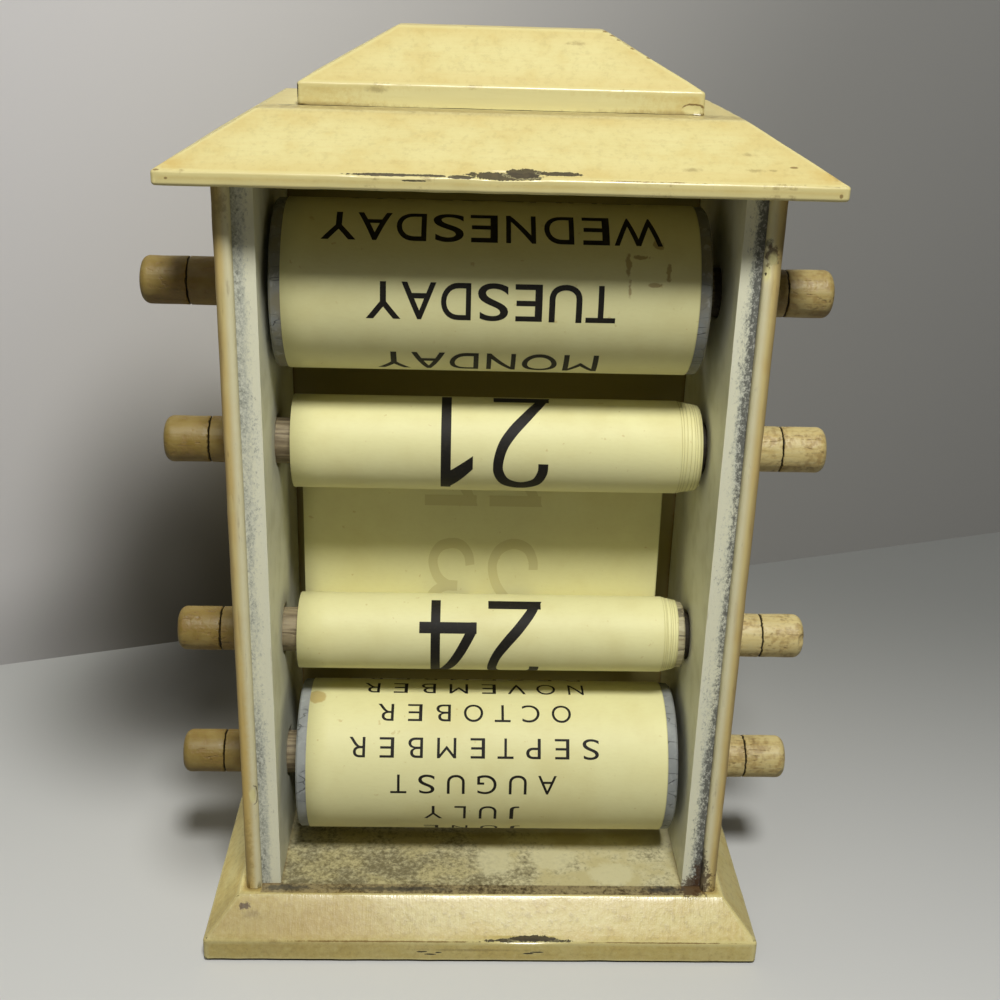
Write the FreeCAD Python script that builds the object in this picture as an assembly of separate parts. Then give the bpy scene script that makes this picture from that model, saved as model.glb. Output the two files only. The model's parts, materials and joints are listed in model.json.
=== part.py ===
# Perpetual desk calendar: a painted wooden cabinet, open at the back, that holds four rollers.
# A day drum hangs at the top, a month drum at the bottom, and between them a paper scroll of
# dates winds from one small roller to the other. Each roller turns on a dowel by the two knobs
# outside the cabinet, and the front panel has a window for the day, the date and the month.
#
# Millimetres. +Z is up, the windows face -Y, the open back faces +Y, and right is +X as seen by
# a reader at the front. The origin is the centre of the face that the calendar rests on.
import FreeCAD, Part
import math
import os

# The cabinet. Its side panels and its front panel are cut from one board.
cabinet_width = 108.0
cabinet_depth = 60.5
board_thickness = 7.75
lip_width = 3.5
rebate_depth = 2.0
interior_depth = 48.5
lip_round = 1.1
front_edge_round = 0.8

# The base, with a felt pad glued under it.
felt_thickness = 0.8
felt_margin = 0.7
base_overhang = 8.8
base_height = 12.4
base_band_height = 4.9
base_top_margin = 1.5
base_round = 0.9

# The roof: a wide eave board with low bevels, and a smaller cap board on top.
eave_overhang = 8.8
eave_thickness = 12.46
eave_band_height = 2.76
eave_slope_run = 16.8
cap_ledge = 6.75
cap_thickness = 14.63
cap_band_height = 4.12
cap_side_run = 18.9
cap_face_run = 11.5
roof_round = 0.8

# The rollers, from the floor inside up to the eave: the gaps between what they carry. Each
# roller sits a little to one side, and its shift is along X.
floor_gap = 4.0
month_to_scroll_gap = 6.43
between_rolls_gap = 26.86
scroll_to_day_gap = 6.93
ceiling_gap = 6.5
axle_diameter = 10.2
axle_setback = 24.0
day_shift = 1.3
upper_shift = -1.3
lower_shift = -1.4
month_shift = -0.7
axle_overhang = 7.9
knob_length = 9.9
knob_round = 1.9
joint_bevel = 0.25
spigot_diameter = 5.0
spigot_length = 7.0
glue_gap = 0.05
hole_clearance = 0.08
hole_mouth_bevel = 0.7

# The two drums and their paper labels.
drum_diameter = 34.6
drum_end_gap = 2.6
drum_bevel = 0.4
label_sheet = 0.2
label_margin = 2.35

# The date scroll: two rolls on small cores, and the straight stretch between them.
core_diameter = 15.2
core_end_gap = 2.6
core_bevel = 0.3
scroll_sheet = 0.2
scroll_margin = 2.35
scroll_shift = 1.3
upper_roll_diameter = 20.54
lower_roll_diameter = 17.74
roll_telescope = 3.6
band_gap = 0.2

# The windows in the front panel: their heights, and the board left at each side of them.
window_bevel = 2.0
day_window_height = 14.0
day_window_margin = 8.25
date_window_height = 30.0
date_window_margin = 25.25
month_window_height = 10.0
month_window_margin = 12.25

# The hidden fasteners.
screw_head_diameter = 6.4
screw_shank_diameter = 3.2
screw_head_height = 1.8
screw_slot_width = 0.9
screw_slot_depth = 0.7
screw_tip_height = 3.0
base_screw_bite = 15.6
cap_screw_bite = 7.5
dowel_diameter = 4.0
dowel_length = 14.0
dowel_bevel = 0.4
side_fastener_inset = 12.25
cap_fastener_inset = 19.25
overrun = 1.0

# Places that follow from the sizes above.
half_width = cabinet_width / 2
half_depth = cabinet_depth / 2
inner_half_width = half_width - board_thickness
wood_bottom = felt_thickness
base_top = wood_bottom + base_height
panel_inner_y = half_depth - rebate_depth - interior_depth
panel_outer_y = panel_inner_y - board_thickness
axle_y = half_depth - axle_setback
axle_radius = axle_diameter / 2
axle_length = cabinet_width + 2 * axle_overhang
hole_radius = axle_radius + hole_clearance
drum_radius = drum_diameter / 2
label_radius = drum_radius + label_sheet
drum_length = 2 * (inner_half_width - drum_end_gap)
label_width = drum_length - 2 * label_margin
core_radius = core_diameter / 2
core_length = 2 * (inner_half_width - core_end_gap)
scroll_width = core_length - 2 * scroll_margin
upper_roll_radius = upper_roll_diameter / 2
lower_roll_radius = lower_roll_diameter / 2
month_z = base_top + floor_gap + label_radius
lower_z = month_z + label_radius + month_to_scroll_gap + lower_roll_radius
upper_z = lower_z + lower_roll_radius + between_rolls_gap + upper_roll_radius
day_z = upper_z + upper_roll_radius + scroll_to_day_gap + label_radius
eave_bottom = day_z + label_radius + ceiling_gap
side_panel_height = eave_bottom - base_top
cap_bottom = eave_bottom + eave_thickness
side_fastener_x = half_width - board_thickness / 2
side_fastener_y = half_depth - side_fastener_inset
base_screw_length = base_height + base_screw_bite
cap_screw_length = eave_thickness + cap_screw_bite
eave_half_x = half_width + eave_overhang
eave_half_y = half_depth + eave_overhang
cap_half_x = eave_half_x - eave_slope_run - cap_ledge
cap_half_y = eave_half_y - eave_slope_run - cap_ledge
cap_fastener_x = cap_half_x - cap_fastener_inset

# For each roller, the height of its axle and its shift along X.
rollers = {
    "day": (day_z, day_shift),
    "date_upper": (upper_z, upper_shift),
    "date_lower": (lower_z, lower_shift),
    "month": (month_z, month_shift),
}
X_AXIS = FreeCAD.Vector(1, 0, 0)
Z_AXIS = FreeCAD.Vector(0, 0, 1)


def block(x0, x1, y0, y1, z0, z1):
    """A box between two corners."""
    return Part.makeBox(x1 - x0, y1 - y0, z1 - z0, FreeCAD.Vector(x0, y0, z0))


def rod(radius, x0, x1, z):
    """A round bar along X, on the rollers' line in depth."""
    return Part.makeCylinder(radius, x1 - x0, FreeCAD.Vector(x0, axle_y, z), X_AXIS)


def post(radius, x, y, z0, z1):
    """A round bar along Z."""
    return Part.makeCylinder(radius, z1 - z0, FreeCAD.Vector(x, y, z0), Z_AXIS)


def rectangle(half_x, half_y, z):
    """A closed wire, level and centred on the Z axis."""
    corners = [FreeCAD.Vector(sx * half_x, sy * half_y, z)
               for sx, sy in ((-1, -1), (1, -1), (1, 1), (-1, 1), (-1, -1))]
    return Part.makePolygon(corners)


def bevelled_board(half_x, half_y, z0, band, height, run_x, run_y):
    """A board with upright edges for its band, and sloping faces above."""
    wires = [rectangle(half_x, half_y, z0), rectangle(half_x, half_y, z0 + band),
             rectangle(half_x - run_x, half_y - run_y, z0 + height)]
    return Part.makeLoft(wires, True, True).removeSplitter()


def rounded(shape, radius, wanted):
    """The shape with a fillet on each edge whose middle passes the test."""
    edges = [e for e in shape.Edges if wanted(e.CenterOfMass)]
    return shape.makeFillet(radius, edges)


def bevelled(shape, size, wanted):
    """The shape with a chamfer on each edge whose middle passes the test."""
    edges = [e for e in shape.Edges if wanted(e.CenterOfMass)]
    return shape.makeChamfer(size, edges)


def near(value, target):
    """True where two places are the same."""
    return math.isclose(value, target, abs_tol=Part.Precision.confusion() * 10)


def screw_body(x, y, z, length):
    """The space that a countersunk wood screw fills, its head's face at z and its point upwards."""
    shank_radius = screw_shank_diameter / 2
    place = FreeCAD.Vector(x, y, z)
    tip_place = place + Z_AXIS * (length - screw_tip_height)
    head = Part.makeCone(screw_head_diameter / 2, shank_radius, screw_head_height, place, Z_AXIS)
    shank = post(shank_radius, x, y, z + screw_head_height, tip_place.z)
    tip = Part.makeCone(shank_radius, 0, screw_tip_height, tip_place, Z_AXIS)
    return head.fuse([shank, tip]).removeSplitter()


def wood_screw(x, y, z, length):
    """A countersunk wood screw with a slot across its head."""
    half_slot, head_radius = screw_slot_width / 2, screw_head_diameter / 2
    slot = block(x - head_radius, x + head_radius, y - half_slot, y + half_slot,
                 z - overrun, z + screw_slot_depth)
    return screw_body(x, y, z, length).cut(slot)


def side_fastener_places():
    """Where screws and dowels enter the ends of the side panels."""
    return [(sx * side_fastener_x, sy * side_fastener_y) for sx in (-1, 1) for sy in (-1, 1)]


def cap_fastener_places():
    """Where the screws pass from the eave into the cap."""
    return [(sx * cap_fastener_x, 0) for sx in (-1, 1)]


def felt_pad():
    """The pad under the base, set in a little from its edges."""
    half_x = half_width + base_overhang - felt_margin
    half_y = half_depth + base_overhang - felt_margin
    return block(-half_x, half_x, -half_y, half_y, 0, felt_thickness)


def base_plinth():
    """The base board: an upright band, then a bevel up to the foot of the cabinet."""
    run = base_overhang - base_top_margin
    board = bevelled_board(half_width + base_overhang, half_depth + base_overhang, wood_bottom,
                           base_band_height, base_height, run, run)
    board = rounded(board, base_round, lambda c: c.z > wood_bottom and not near(c.z, wood_bottom))
    for x, y in side_fastener_places():
        board = board.cut(screw_body(x, y, wood_bottom, base_screw_length))
    return board


def side_panel(side):
    """One side panel, with a lip round its back edge, four axle holes and its fasteners' holes."""
    outline = [(half_width, -half_depth), (half_width, half_depth),
               (half_width - lip_width, half_depth),
               (half_width - lip_width, half_depth - rebate_depth),
               (inner_half_width, half_depth - rebate_depth), (inner_half_width, -half_depth),
               (half_width, -half_depth)]
    wire = Part.makePolygon([FreeCAD.Vector(side * x, y, base_top) for x, y in outline])
    panel = Part.Face(wire).extrude(FreeCAD.Vector(0, 0, side_panel_height))
    middle = base_top + side_panel_height / 2
    panel = rounded(panel, lip_round, lambda c: near(c.z, middle) and near(c.y, half_depth))
    panel = rounded(panel, front_edge_round, lambda c: near(c.z, middle) and near(c.y, -half_depth))
    for height, _ in rollers.values():
        panel = panel.cut(axle_hole(side, height))
    for x, y in side_fastener_places():
        panel = panel.cut(screw_body(x, y, wood_bottom, base_screw_length))
        panel = panel.cut(post(dowel_diameter / 2, x, y, eave_bottom - dowel_length / 2, eave_bottom))
    return panel


def axle_hole(side, z):
    """The hole for an axle, with its mouth opened a little inside the cabinet."""
    hole = rod(hole_radius, inner_half_width - overrun, half_width + overrun, z)
    mouth = Part.makeCone(hole_radius + hole_mouth_bevel, hole_radius, hole_mouth_bevel,
                          FreeCAD.Vector(inner_half_width, axle_y, z), X_AXIS)
    hole = hole.fuse(mouth)
    if side < 0:
        hole = hole.mirror(FreeCAD.Vector(0, 0, 0), X_AXIS)
    return hole


def window(margin, height, z):
    """The space that one window takes from the front panel, wider at the outer face."""
    half_width_inside = inner_half_width - margin
    hole = block(-half_width_inside, half_width_inside, panel_outer_y - overrun,
                 panel_inner_y + overrun, z - height / 2, z + height / 2)
    wires = []
    for grow, y in ((window_bevel, panel_outer_y), (0, panel_outer_y + window_bevel)):
        half_x, half_z = half_width_inside + grow, height / 2 + grow
        corners = [FreeCAD.Vector(sx * half_x, y, z + sz * half_z)
                   for sx, sz in ((-1, -1), (1, -1), (1, 1), (-1, 1), (-1, -1))]
        wires.append(Part.makePolygon(corners))
    return hole.fuse(Part.makeLoft(wires, True, True))


def front_panel():
    """The front panel between the side panels, with a window for the day, the date and the month."""
    panel = block(-inner_half_width, inner_half_width, panel_outer_y, panel_inner_y,
                  base_top, eave_bottom)
    panel = panel.cut(window(day_window_margin, day_window_height, day_z))
    panel = panel.cut(window(date_window_margin, date_window_height, (upper_z + lower_z) / 2))
    return panel.cut(window(month_window_margin, month_window_height, month_z))


def roof_eave():
    """The wide roof board, bored for the dowels and for the screws of the cap."""
    board = bevelled_board(eave_half_x, eave_half_y, eave_bottom, eave_band_height, eave_thickness,
                           eave_slope_run, eave_slope_run)
    board = rounded(board, roof_round, lambda c: True)
    for x, y in side_fastener_places():
        board = board.cut(post(dowel_diameter / 2, x, y, eave_bottom, eave_bottom + dowel_length / 2))
    for x, y in cap_fastener_places():
        board = board.cut(screw_body(x, y, eave_bottom, cap_screw_length))
    return board


def roof_cap():
    """The small board on top of the roof, sloping to a flat top."""
    board = bevelled_board(cap_half_x, cap_half_y, cap_bottom, cap_band_height, cap_thickness,
                           cap_side_run, cap_face_run)
    board = rounded(board, roof_round, lambda c: c.z > cap_bottom and not near(c.z, cap_bottom))
    for x, y in cap_fastener_places():
        board = board.cut(screw_body(x, y, eave_bottom, cap_screw_length))
    return board


def base_screws():
    """Four screws from under the base into the side panels."""
    return [wood_screw(x, y, wood_bottom, base_screw_length) for x, y in side_fastener_places()]


def cap_screws():
    """Two screws from under the eave into the cap."""
    return [wood_screw(x, y, eave_bottom, cap_screw_length) for x, y in cap_fastener_places()]


def eave_dowels():
    """Four wooden dowels between the side panels and the eave."""
    dowels = []
    for x, y in side_fastener_places():
        low, high = eave_bottom - dowel_length / 2, eave_bottom + dowel_length / 2
        dowel = post(dowel_diameter / 2, x, y, low, high)
        dowels.append(bevelled(dowel, dowel_bevel, lambda c: near(c.z, low) or near(c.z, high)))
    return dowels


def axle(name):
    """The dowel through a roller, with a blind hole in each end for a knob's spigot."""
    z, shift = rollers[name]
    low, high = shift - axle_length / 2, shift + axle_length / 2
    bar = rod(axle_radius, low, high, z)
    bar = bevelled(bar, joint_bevel, lambda c: near(c.x, low) or near(c.x, high))
    bore_radius = spigot_diameter / 2 + glue_gap
    bore_depth = spigot_length + glue_gap
    bar = bar.cut(rod(bore_radius, low - overrun, low + bore_depth, z))
    return bar.cut(rod(bore_radius, high - bore_depth, high + overrun, z))


def knob(name, side):
    """A knob of the same dowel, rounded at its outer end, glued on by a spigot."""
    z, shift = rollers[name]
    inner = axle_length / 2
    outer = inner + knob_length
    body = rod(axle_radius, inner, outer, z)
    body = rounded(body, knob_round, lambda c: near(c.x, outer))
    body = bevelled(body, joint_bevel, lambda c: near(c.x, inner))
    body = body.fuse(rod(spigot_diameter / 2, inner - spigot_length, inner, z)).removeSplitter()
    if side < 0:
        body = body.mirror(FreeCAD.Vector(0, 0, 0), X_AXIS)
    body.translate(FreeCAD.Vector(shift, 0, 0))
    return body


def cylinder_on_axle(name, radius, length, bevel):
    """A drum or a core: a round piece bored for its axle, with small bevels at its ends."""
    z, shift = rollers[name]
    low, high = shift - length / 2, shift + length / 2
    body = rod(radius, low, high, z)
    body = bevelled(body, bevel, lambda c: near(c.x, low) or near(c.x, high))
    return body.cut(rod(axle_radius, low - overrun, high + overrun, z))


def label(name):
    """The printed paper wrapped once round a drum."""
    z, shift = rollers[name]
    low, high = shift - label_width / 2, shift + label_width / 2
    return rod(label_radius, low, high, z).cut(rod(drum_radius, low, high, z))


def scroll_roll(name, outer_radius):
    """The wound part of the scroll: turns of paper that step towards -X as they go inwards."""
    z = rollers[name][0]
    turns = round((outer_radius - core_radius) / scroll_sheet)
    thickness = (outer_radius - core_radius) / turns
    left_end, right_end = [], []
    for turn in range(turns):
        inner_r = core_radius + turn * thickness
        slip = roll_telescope * (1 - turn / (turns - 1)) if turns > 1 else 0
        low = scroll_shift - scroll_width / 2 - slip
        high = scroll_shift + scroll_width / 2 - slip
        left_end += [(low, inner_r), (low, inner_r + thickness)]
        right_end += [(high, inner_r), (high, inner_r + thickness)]
    points = left_end + right_end[::-1]
    corners = [FreeCAD.Vector(x, axle_y, z + r) for x, r in points + points[:1]]
    return Part.Face(Part.makePolygon(corners)).revolve(FreeCAD.Vector(0, axle_y, z), X_AXIS, 360)


def scroll_band():
    """The straight stretch of the scroll, along the front of both rolls and just clear of them."""
    lean = math.asin((upper_roll_radius - lower_roll_radius) / (upper_z - lower_z))
    outward = FreeCAD.Vector(0, -math.cos(lean), -math.sin(lean))
    near_top = FreeCAD.Vector(0, axle_y, upper_z) + outward * (upper_roll_radius + band_gap)
    near_foot = FreeCAD.Vector(0, axle_y, lower_z) + outward * (lower_roll_radius + band_gap)
    sheet = outward * scroll_sheet
    start = FreeCAD.Vector(scroll_shift - scroll_width / 2, 0, 0)
    corners = [start + p for p in (near_top, near_foot, near_foot + sheet, near_top + sheet, near_top)]
    return Part.Face(Part.makePolygon(corners)).extrude(X_AXIS * scroll_width)


def cabinet_nodes():
    """Everything that stays still."""
    return {
        "felt_pad": felt_pad(),
        "base_plinth": base_plinth(),
        "side_panel_left": side_panel(-1),
        "side_panel_right": side_panel(1),
        "front_panel": front_panel(),
        "roof_eave": roof_eave(),
        "roof_cap": roof_cap(),
        "base_screws": Part.makeCompound(base_screws()),
        "cap_screws": Part.makeCompound(cap_screws()),
        "eave_dowels": Part.makeCompound(eave_dowels()),
        "date_scroll_band": scroll_band(),
    }


def roller_nodes():
    """The four rollers: what each carries, its axle and its two knobs."""
    nodes = {
        "day_drum": cylinder_on_axle("day", drum_radius, drum_length, drum_bevel),
        "day_label": label("day"),
        "date_upper_core": cylinder_on_axle("date_upper", core_radius, core_length, core_bevel),
        "date_upper_scroll": scroll_roll("date_upper", upper_roll_radius),
        "date_lower_core": cylinder_on_axle("date_lower", core_radius, core_length, core_bevel),
        "date_lower_scroll": scroll_roll("date_lower", lower_roll_radius),
        "month_drum": cylinder_on_axle("month", drum_radius, drum_length, drum_bevel),
        "month_label": label("month"),
    }
    for name in rollers:
        nodes[name + "_axle"] = axle(name)
        nodes[name + "_knob_left"] = knob(name, -1)
        nodes[name + "_knob_right"] = knob(name, 1)
    return nodes


os.makedirs("parts", exist_ok=True)
for node, shape in {**cabinet_nodes(), **roller_nodes()}.items():
    shape.exportStep("parts/" + node + ".step")
    print(node, len(shape.Solids), round(shape.Volume, 1), shape.isValid())
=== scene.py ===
"""The look of a perpetual desk calendar: a painted wooden cabinet, open at the back, with a day
drum, a month drum and a paper scroll of dates that winds between two small rollers.

The frame gives every solid its place. Lengths in the marks and prints below are millimetres in
the frame's axes: +Z is up, the windows face -Y, the open back faces +Y and +X is the reader's right.
"""

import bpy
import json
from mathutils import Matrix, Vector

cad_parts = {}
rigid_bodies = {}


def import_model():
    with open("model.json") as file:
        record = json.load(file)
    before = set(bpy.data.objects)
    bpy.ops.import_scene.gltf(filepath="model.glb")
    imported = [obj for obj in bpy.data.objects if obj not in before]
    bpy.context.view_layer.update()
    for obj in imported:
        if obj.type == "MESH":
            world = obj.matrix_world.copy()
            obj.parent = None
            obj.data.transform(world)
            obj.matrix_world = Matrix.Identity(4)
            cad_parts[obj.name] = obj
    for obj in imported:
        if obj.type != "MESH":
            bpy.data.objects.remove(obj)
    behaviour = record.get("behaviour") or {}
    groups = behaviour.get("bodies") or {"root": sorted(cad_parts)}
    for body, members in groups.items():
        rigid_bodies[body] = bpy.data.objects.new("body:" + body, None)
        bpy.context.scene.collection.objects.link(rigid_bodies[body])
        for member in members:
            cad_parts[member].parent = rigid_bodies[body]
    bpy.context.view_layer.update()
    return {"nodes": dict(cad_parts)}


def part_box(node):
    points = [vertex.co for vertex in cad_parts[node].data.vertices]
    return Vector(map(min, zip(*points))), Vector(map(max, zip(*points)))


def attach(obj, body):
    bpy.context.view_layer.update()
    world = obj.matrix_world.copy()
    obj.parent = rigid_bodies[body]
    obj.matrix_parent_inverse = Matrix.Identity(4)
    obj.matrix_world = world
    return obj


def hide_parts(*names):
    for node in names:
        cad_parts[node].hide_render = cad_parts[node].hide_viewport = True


bl_info = {
    "name": "Perpetual Desk Calendar",
    "version": (1, 0, 0),
    "blender": (4, 5, 0),
    "location": "3D View > Sidebar > Calendar",
    "description": "Dresses a desk calendar in worn paint, wound paper and printed names",
    "category": "Object",
}

import json
import math
import bmesh
import bpy
from bpy.props import FloatProperty, FloatVectorProperty, PointerProperty
from mathutils import Matrix, Vector, noise
from mathutils.bvhtree import BVHTree
from mathutils.kdtree import KDTree

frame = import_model()

MM = 0.001


def screen(red, green, blue):
    """A colour as a screen shows it, 0 to 255, in Blender's linear values."""
    parts = [value / 255 for value in (red, green, blue)]
    return tuple(p / 12.92 if p <= 0.04045 else ((p + 0.055) / 1.055) ** 2.4 for p in parts)


def colour_property(name, description, default):
    """A paint, paper or stage colour that the user may change."""
    return FloatVectorProperty(
        name=name, description=description, default=default, size=3, subtype="COLOR", min=0, max=1
    )


def length_property(name, description, millimetres):
    """A length that the user may change, given here in millimetres."""
    return FloatProperty(
        name=name, description=description, default=millimetres * MM, min=0,
        subtype="DISTANCE", unit="LENGTH", precision=5,
    )


class CabinetLook(bpy.types.PropertyGroup):
    """Paint and wear of the wooden boards."""

    cream: colour_property("Cream paint", "The aged cream of the boards", screen(217, 204, 139))
    # Also used as painted highlight along the rounded arrises and over the cap's band.
    pale: colour_property("Pale paint", "Where the cream is cleaner", screen(227, 218, 157))
    ochre: colour_property("Ochre tint", "Where the cream has yellowed", screen(204, 174, 96))
    lip: colour_property("Lip paint", "The browner cream of the lips", screen(208, 184, 118))
    inside: colour_property("Inside paint", "The greyer paint inside", screen(236, 236, 214))
    dark: colour_property("Dark inside", "The dark back of the front board", screen(150, 138, 84))
    # The brown of worn arrises and specks, also used as painted shade in the inner corners and on the
    # lips' outer rounds.
    arris: colour_property("Worn arris", "Brown lines on rubbed edges", screen(128, 100, 56))
    chip: colour_property("Chipped wood", "Old wood where paint broke off", screen(54, 44, 24))
    speck: colour_property("Speck", "Small grey-brown specks", screen(136, 116, 70))
    film: colour_property("Film", "Grey film where the back panel would sit", screen(152, 158, 154))
    clean: colour_property("Clean floor", "Cleaner patches of the floor inside",
                           screen(212, 206, 164))
    dirt: colour_property("Dirt", "Brown dirt on the floor inside", screen(80, 68, 34))
    # Also used by one dark mark as painted shadow at the cap's foot.
    mould: colour_property("Mould", "Dark grey mould and dirt", screen(54, 54, 52))
    rust: colour_property("Brown stain", "Brown stains in the corners", screen(78, 54, 30))
    cell: length_property("Cell", "Size of the boards' mesh cells", 2.2)
    wobble: length_property("Wobble", "How far hand sanding left the faces uneven", 0.07)
    rubbed: length_property("Rubbing", "How far the arrises are rubbed down", 0.1)


class RollerLook(bpy.types.PropertyGroup):
    """Paint and wood of the rollers and knobs."""

    drum_grey: colour_property("Drum grey", "Grey paint on the drums", screen(150, 153, 148))
    crack: colour_property("Crack", "Fine dark cracks in the grey", screen(48, 48, 46))
    knob: colour_property("Knob paint", "Worn paint of knobs and axles", screen(216, 196, 130))
    knob_ochre: colour_property("Knob ochre", "Yellowed parts of the knobs", screen(192, 158, 84))
    # Darker knob paint, also used as painted shade over whole rollers.
    knob_handled: colour_property("Handled knob", "The dirtier knobs on the right",
                                  screen(124, 102, 40))
    knob_worn: colour_property("Knob wood", "Wood where the paint is gone", screen(140, 112, 66))
    bare: colour_property("Bare wood", "Unpainted beech of the axles", screen(112, 98, 72))
    joint: colour_property("Joint line", "Dirt in the knobs' joints", screen(28, 22, 14))


class PaperLook(bpy.types.PropertyGroup):
    """Yellowed paper, its ink and how it is wound."""

    paper: colour_property("Paper", "Yellowed paper", screen(230, 225, 166))
    foxing: colour_property("Aged paper", "Darker, older parts", screen(216, 206, 142))
    stain: colour_property("Stain", "Brown stains on the labels", screen(186, 154, 76))
    ink: colour_property("Ink", "Black-brown print", screen(24, 21, 14))
    turn_gap: length_property("Turn pitch", "From one wound turn to the next", 0.12)
    sheet: length_property("Sheet", "Thickness of the scroll's paper", 0.09)
    label_sheet: length_property("Label sheet", "Thickness of the labels' paper", 0.08)
    telescope: length_property("Telescope", "How far the inner turns stick out", 4.8)


class PrintLook(bpy.types.PropertyGroup):
    """Sizes of the printed names and dates."""

    day_cap: length_property("Day capitals", "Height of the day names' capitals", 7.4)
    month_cap: length_property("Month capitals", "Height of the months' capitals", 4.6)
    month_spacing: length_property("Month spacing", "Extra room between letters", 2.25)
    date_height: length_property("Date height", "Height of the dates' figures", 25.8)
    date_pitch: length_property("Date pitch", "From one date to the next", 33.8)
    stem: length_property("Stem", "Width of the figures' upright strokes", 2.12)
    bar: length_property("Bar", "Height of the figures' level strokes", 2.62)


class StageLook(bpy.types.PropertyGroup):
    """Floor, backdrop, lamps and camera."""

    floor: colour_property("Floor", "Pale floor", screen(220, 220, 215))
    # Painted falloff of light: the floor darkens to this colour towards the backdrop.
    floor_far: colour_property("Far floor", "The floor by the backdrop", screen(148, 149, 145))
    wall: colour_property("Backdrop", "Pale side of the backdrop", screen(217, 215, 214))
    # Painted falloff of light: the backdrop darkens to this colour on its far side.
    wall_far: colour_property("Far backdrop", "Dim side of the backdrop", screen(150, 149, 145))
    shade: colour_property("Shade", "The shade beside the cabinet", screen(66, 63, 54))
    bounce: colour_property("Bounce", "Floor and backdrop as the object sees them",
                            screen(148, 147, 142))
    key_power: FloatProperty(name="Key lamp", description="Power of the lamp above the camera",
                             default=5.3, min=0, unit="POWER")
    fill_power: FloatProperty(name="Fill lamp", description="Power of the broad soft lamp",
                              default=0.9, min=0, unit="POWER")
    back_power: FloatProperty(name="Front lamp", description="Power of the soft lamp before the "
                              "windows", default=8.0, min=0, unit="POWER")
    room: FloatProperty(name="Room light", description="Strength of the even room light",
                        default=0.012, min=0, max=2)
    lens: FloatProperty(name="Lens", description="The camera's focal length in millimetres",
                        default=47.37, min=10, max=300)


class Wire:
    """A node's output that Python sums can use: each sum adds its own Math node."""

    def __init__(self, finish, socket):
        self.finish = finish
        self.socket = socket

    def sum(self, operation, *values):
        return self.finish.node("ShaderNodeMath", {"operation": operation}, dict(enumerate(values)))

    def __add__(self, other):
        return self.sum("ADD", self, other)

    __radd__ = __add__

    def __sub__(self, other):
        return self.sum("SUBTRACT", self, other)

    def __rsub__(self, other):
        return self.sum("SUBTRACT", other, self)

    def __mul__(self, other):
        return self.sum("MULTIPLY", self, other)

    __rmul__ = __mul__

    def __truediv__(self, other):
        return self.sum("DIVIDE", self, other)

    def __rtruediv__(self, other):
        return self.sum("DIVIDE", other, self)

    def __abs__(self):
        return self.sum("ABSOLUTE", self)

    def least(self, other):
        return self.sum("MINIMUM", self, other)

    def most(self, other):
        return self.sum("MAXIMUM", self, other)

    def rise(self, low, high):
        """0 below low, 1 above high and smooth between them."""
        return self.finish.node(
            "ShaderNodeMapRange", {"interpolation_type": "SMOOTHSTEP"},
            {"Value": self, "From Min": low, "From Max": high},
        )

    def fall(self, low, high):
        """1 below low, 0 above high and smooth between them."""
        return 1 - self.rise(low, high)


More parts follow.
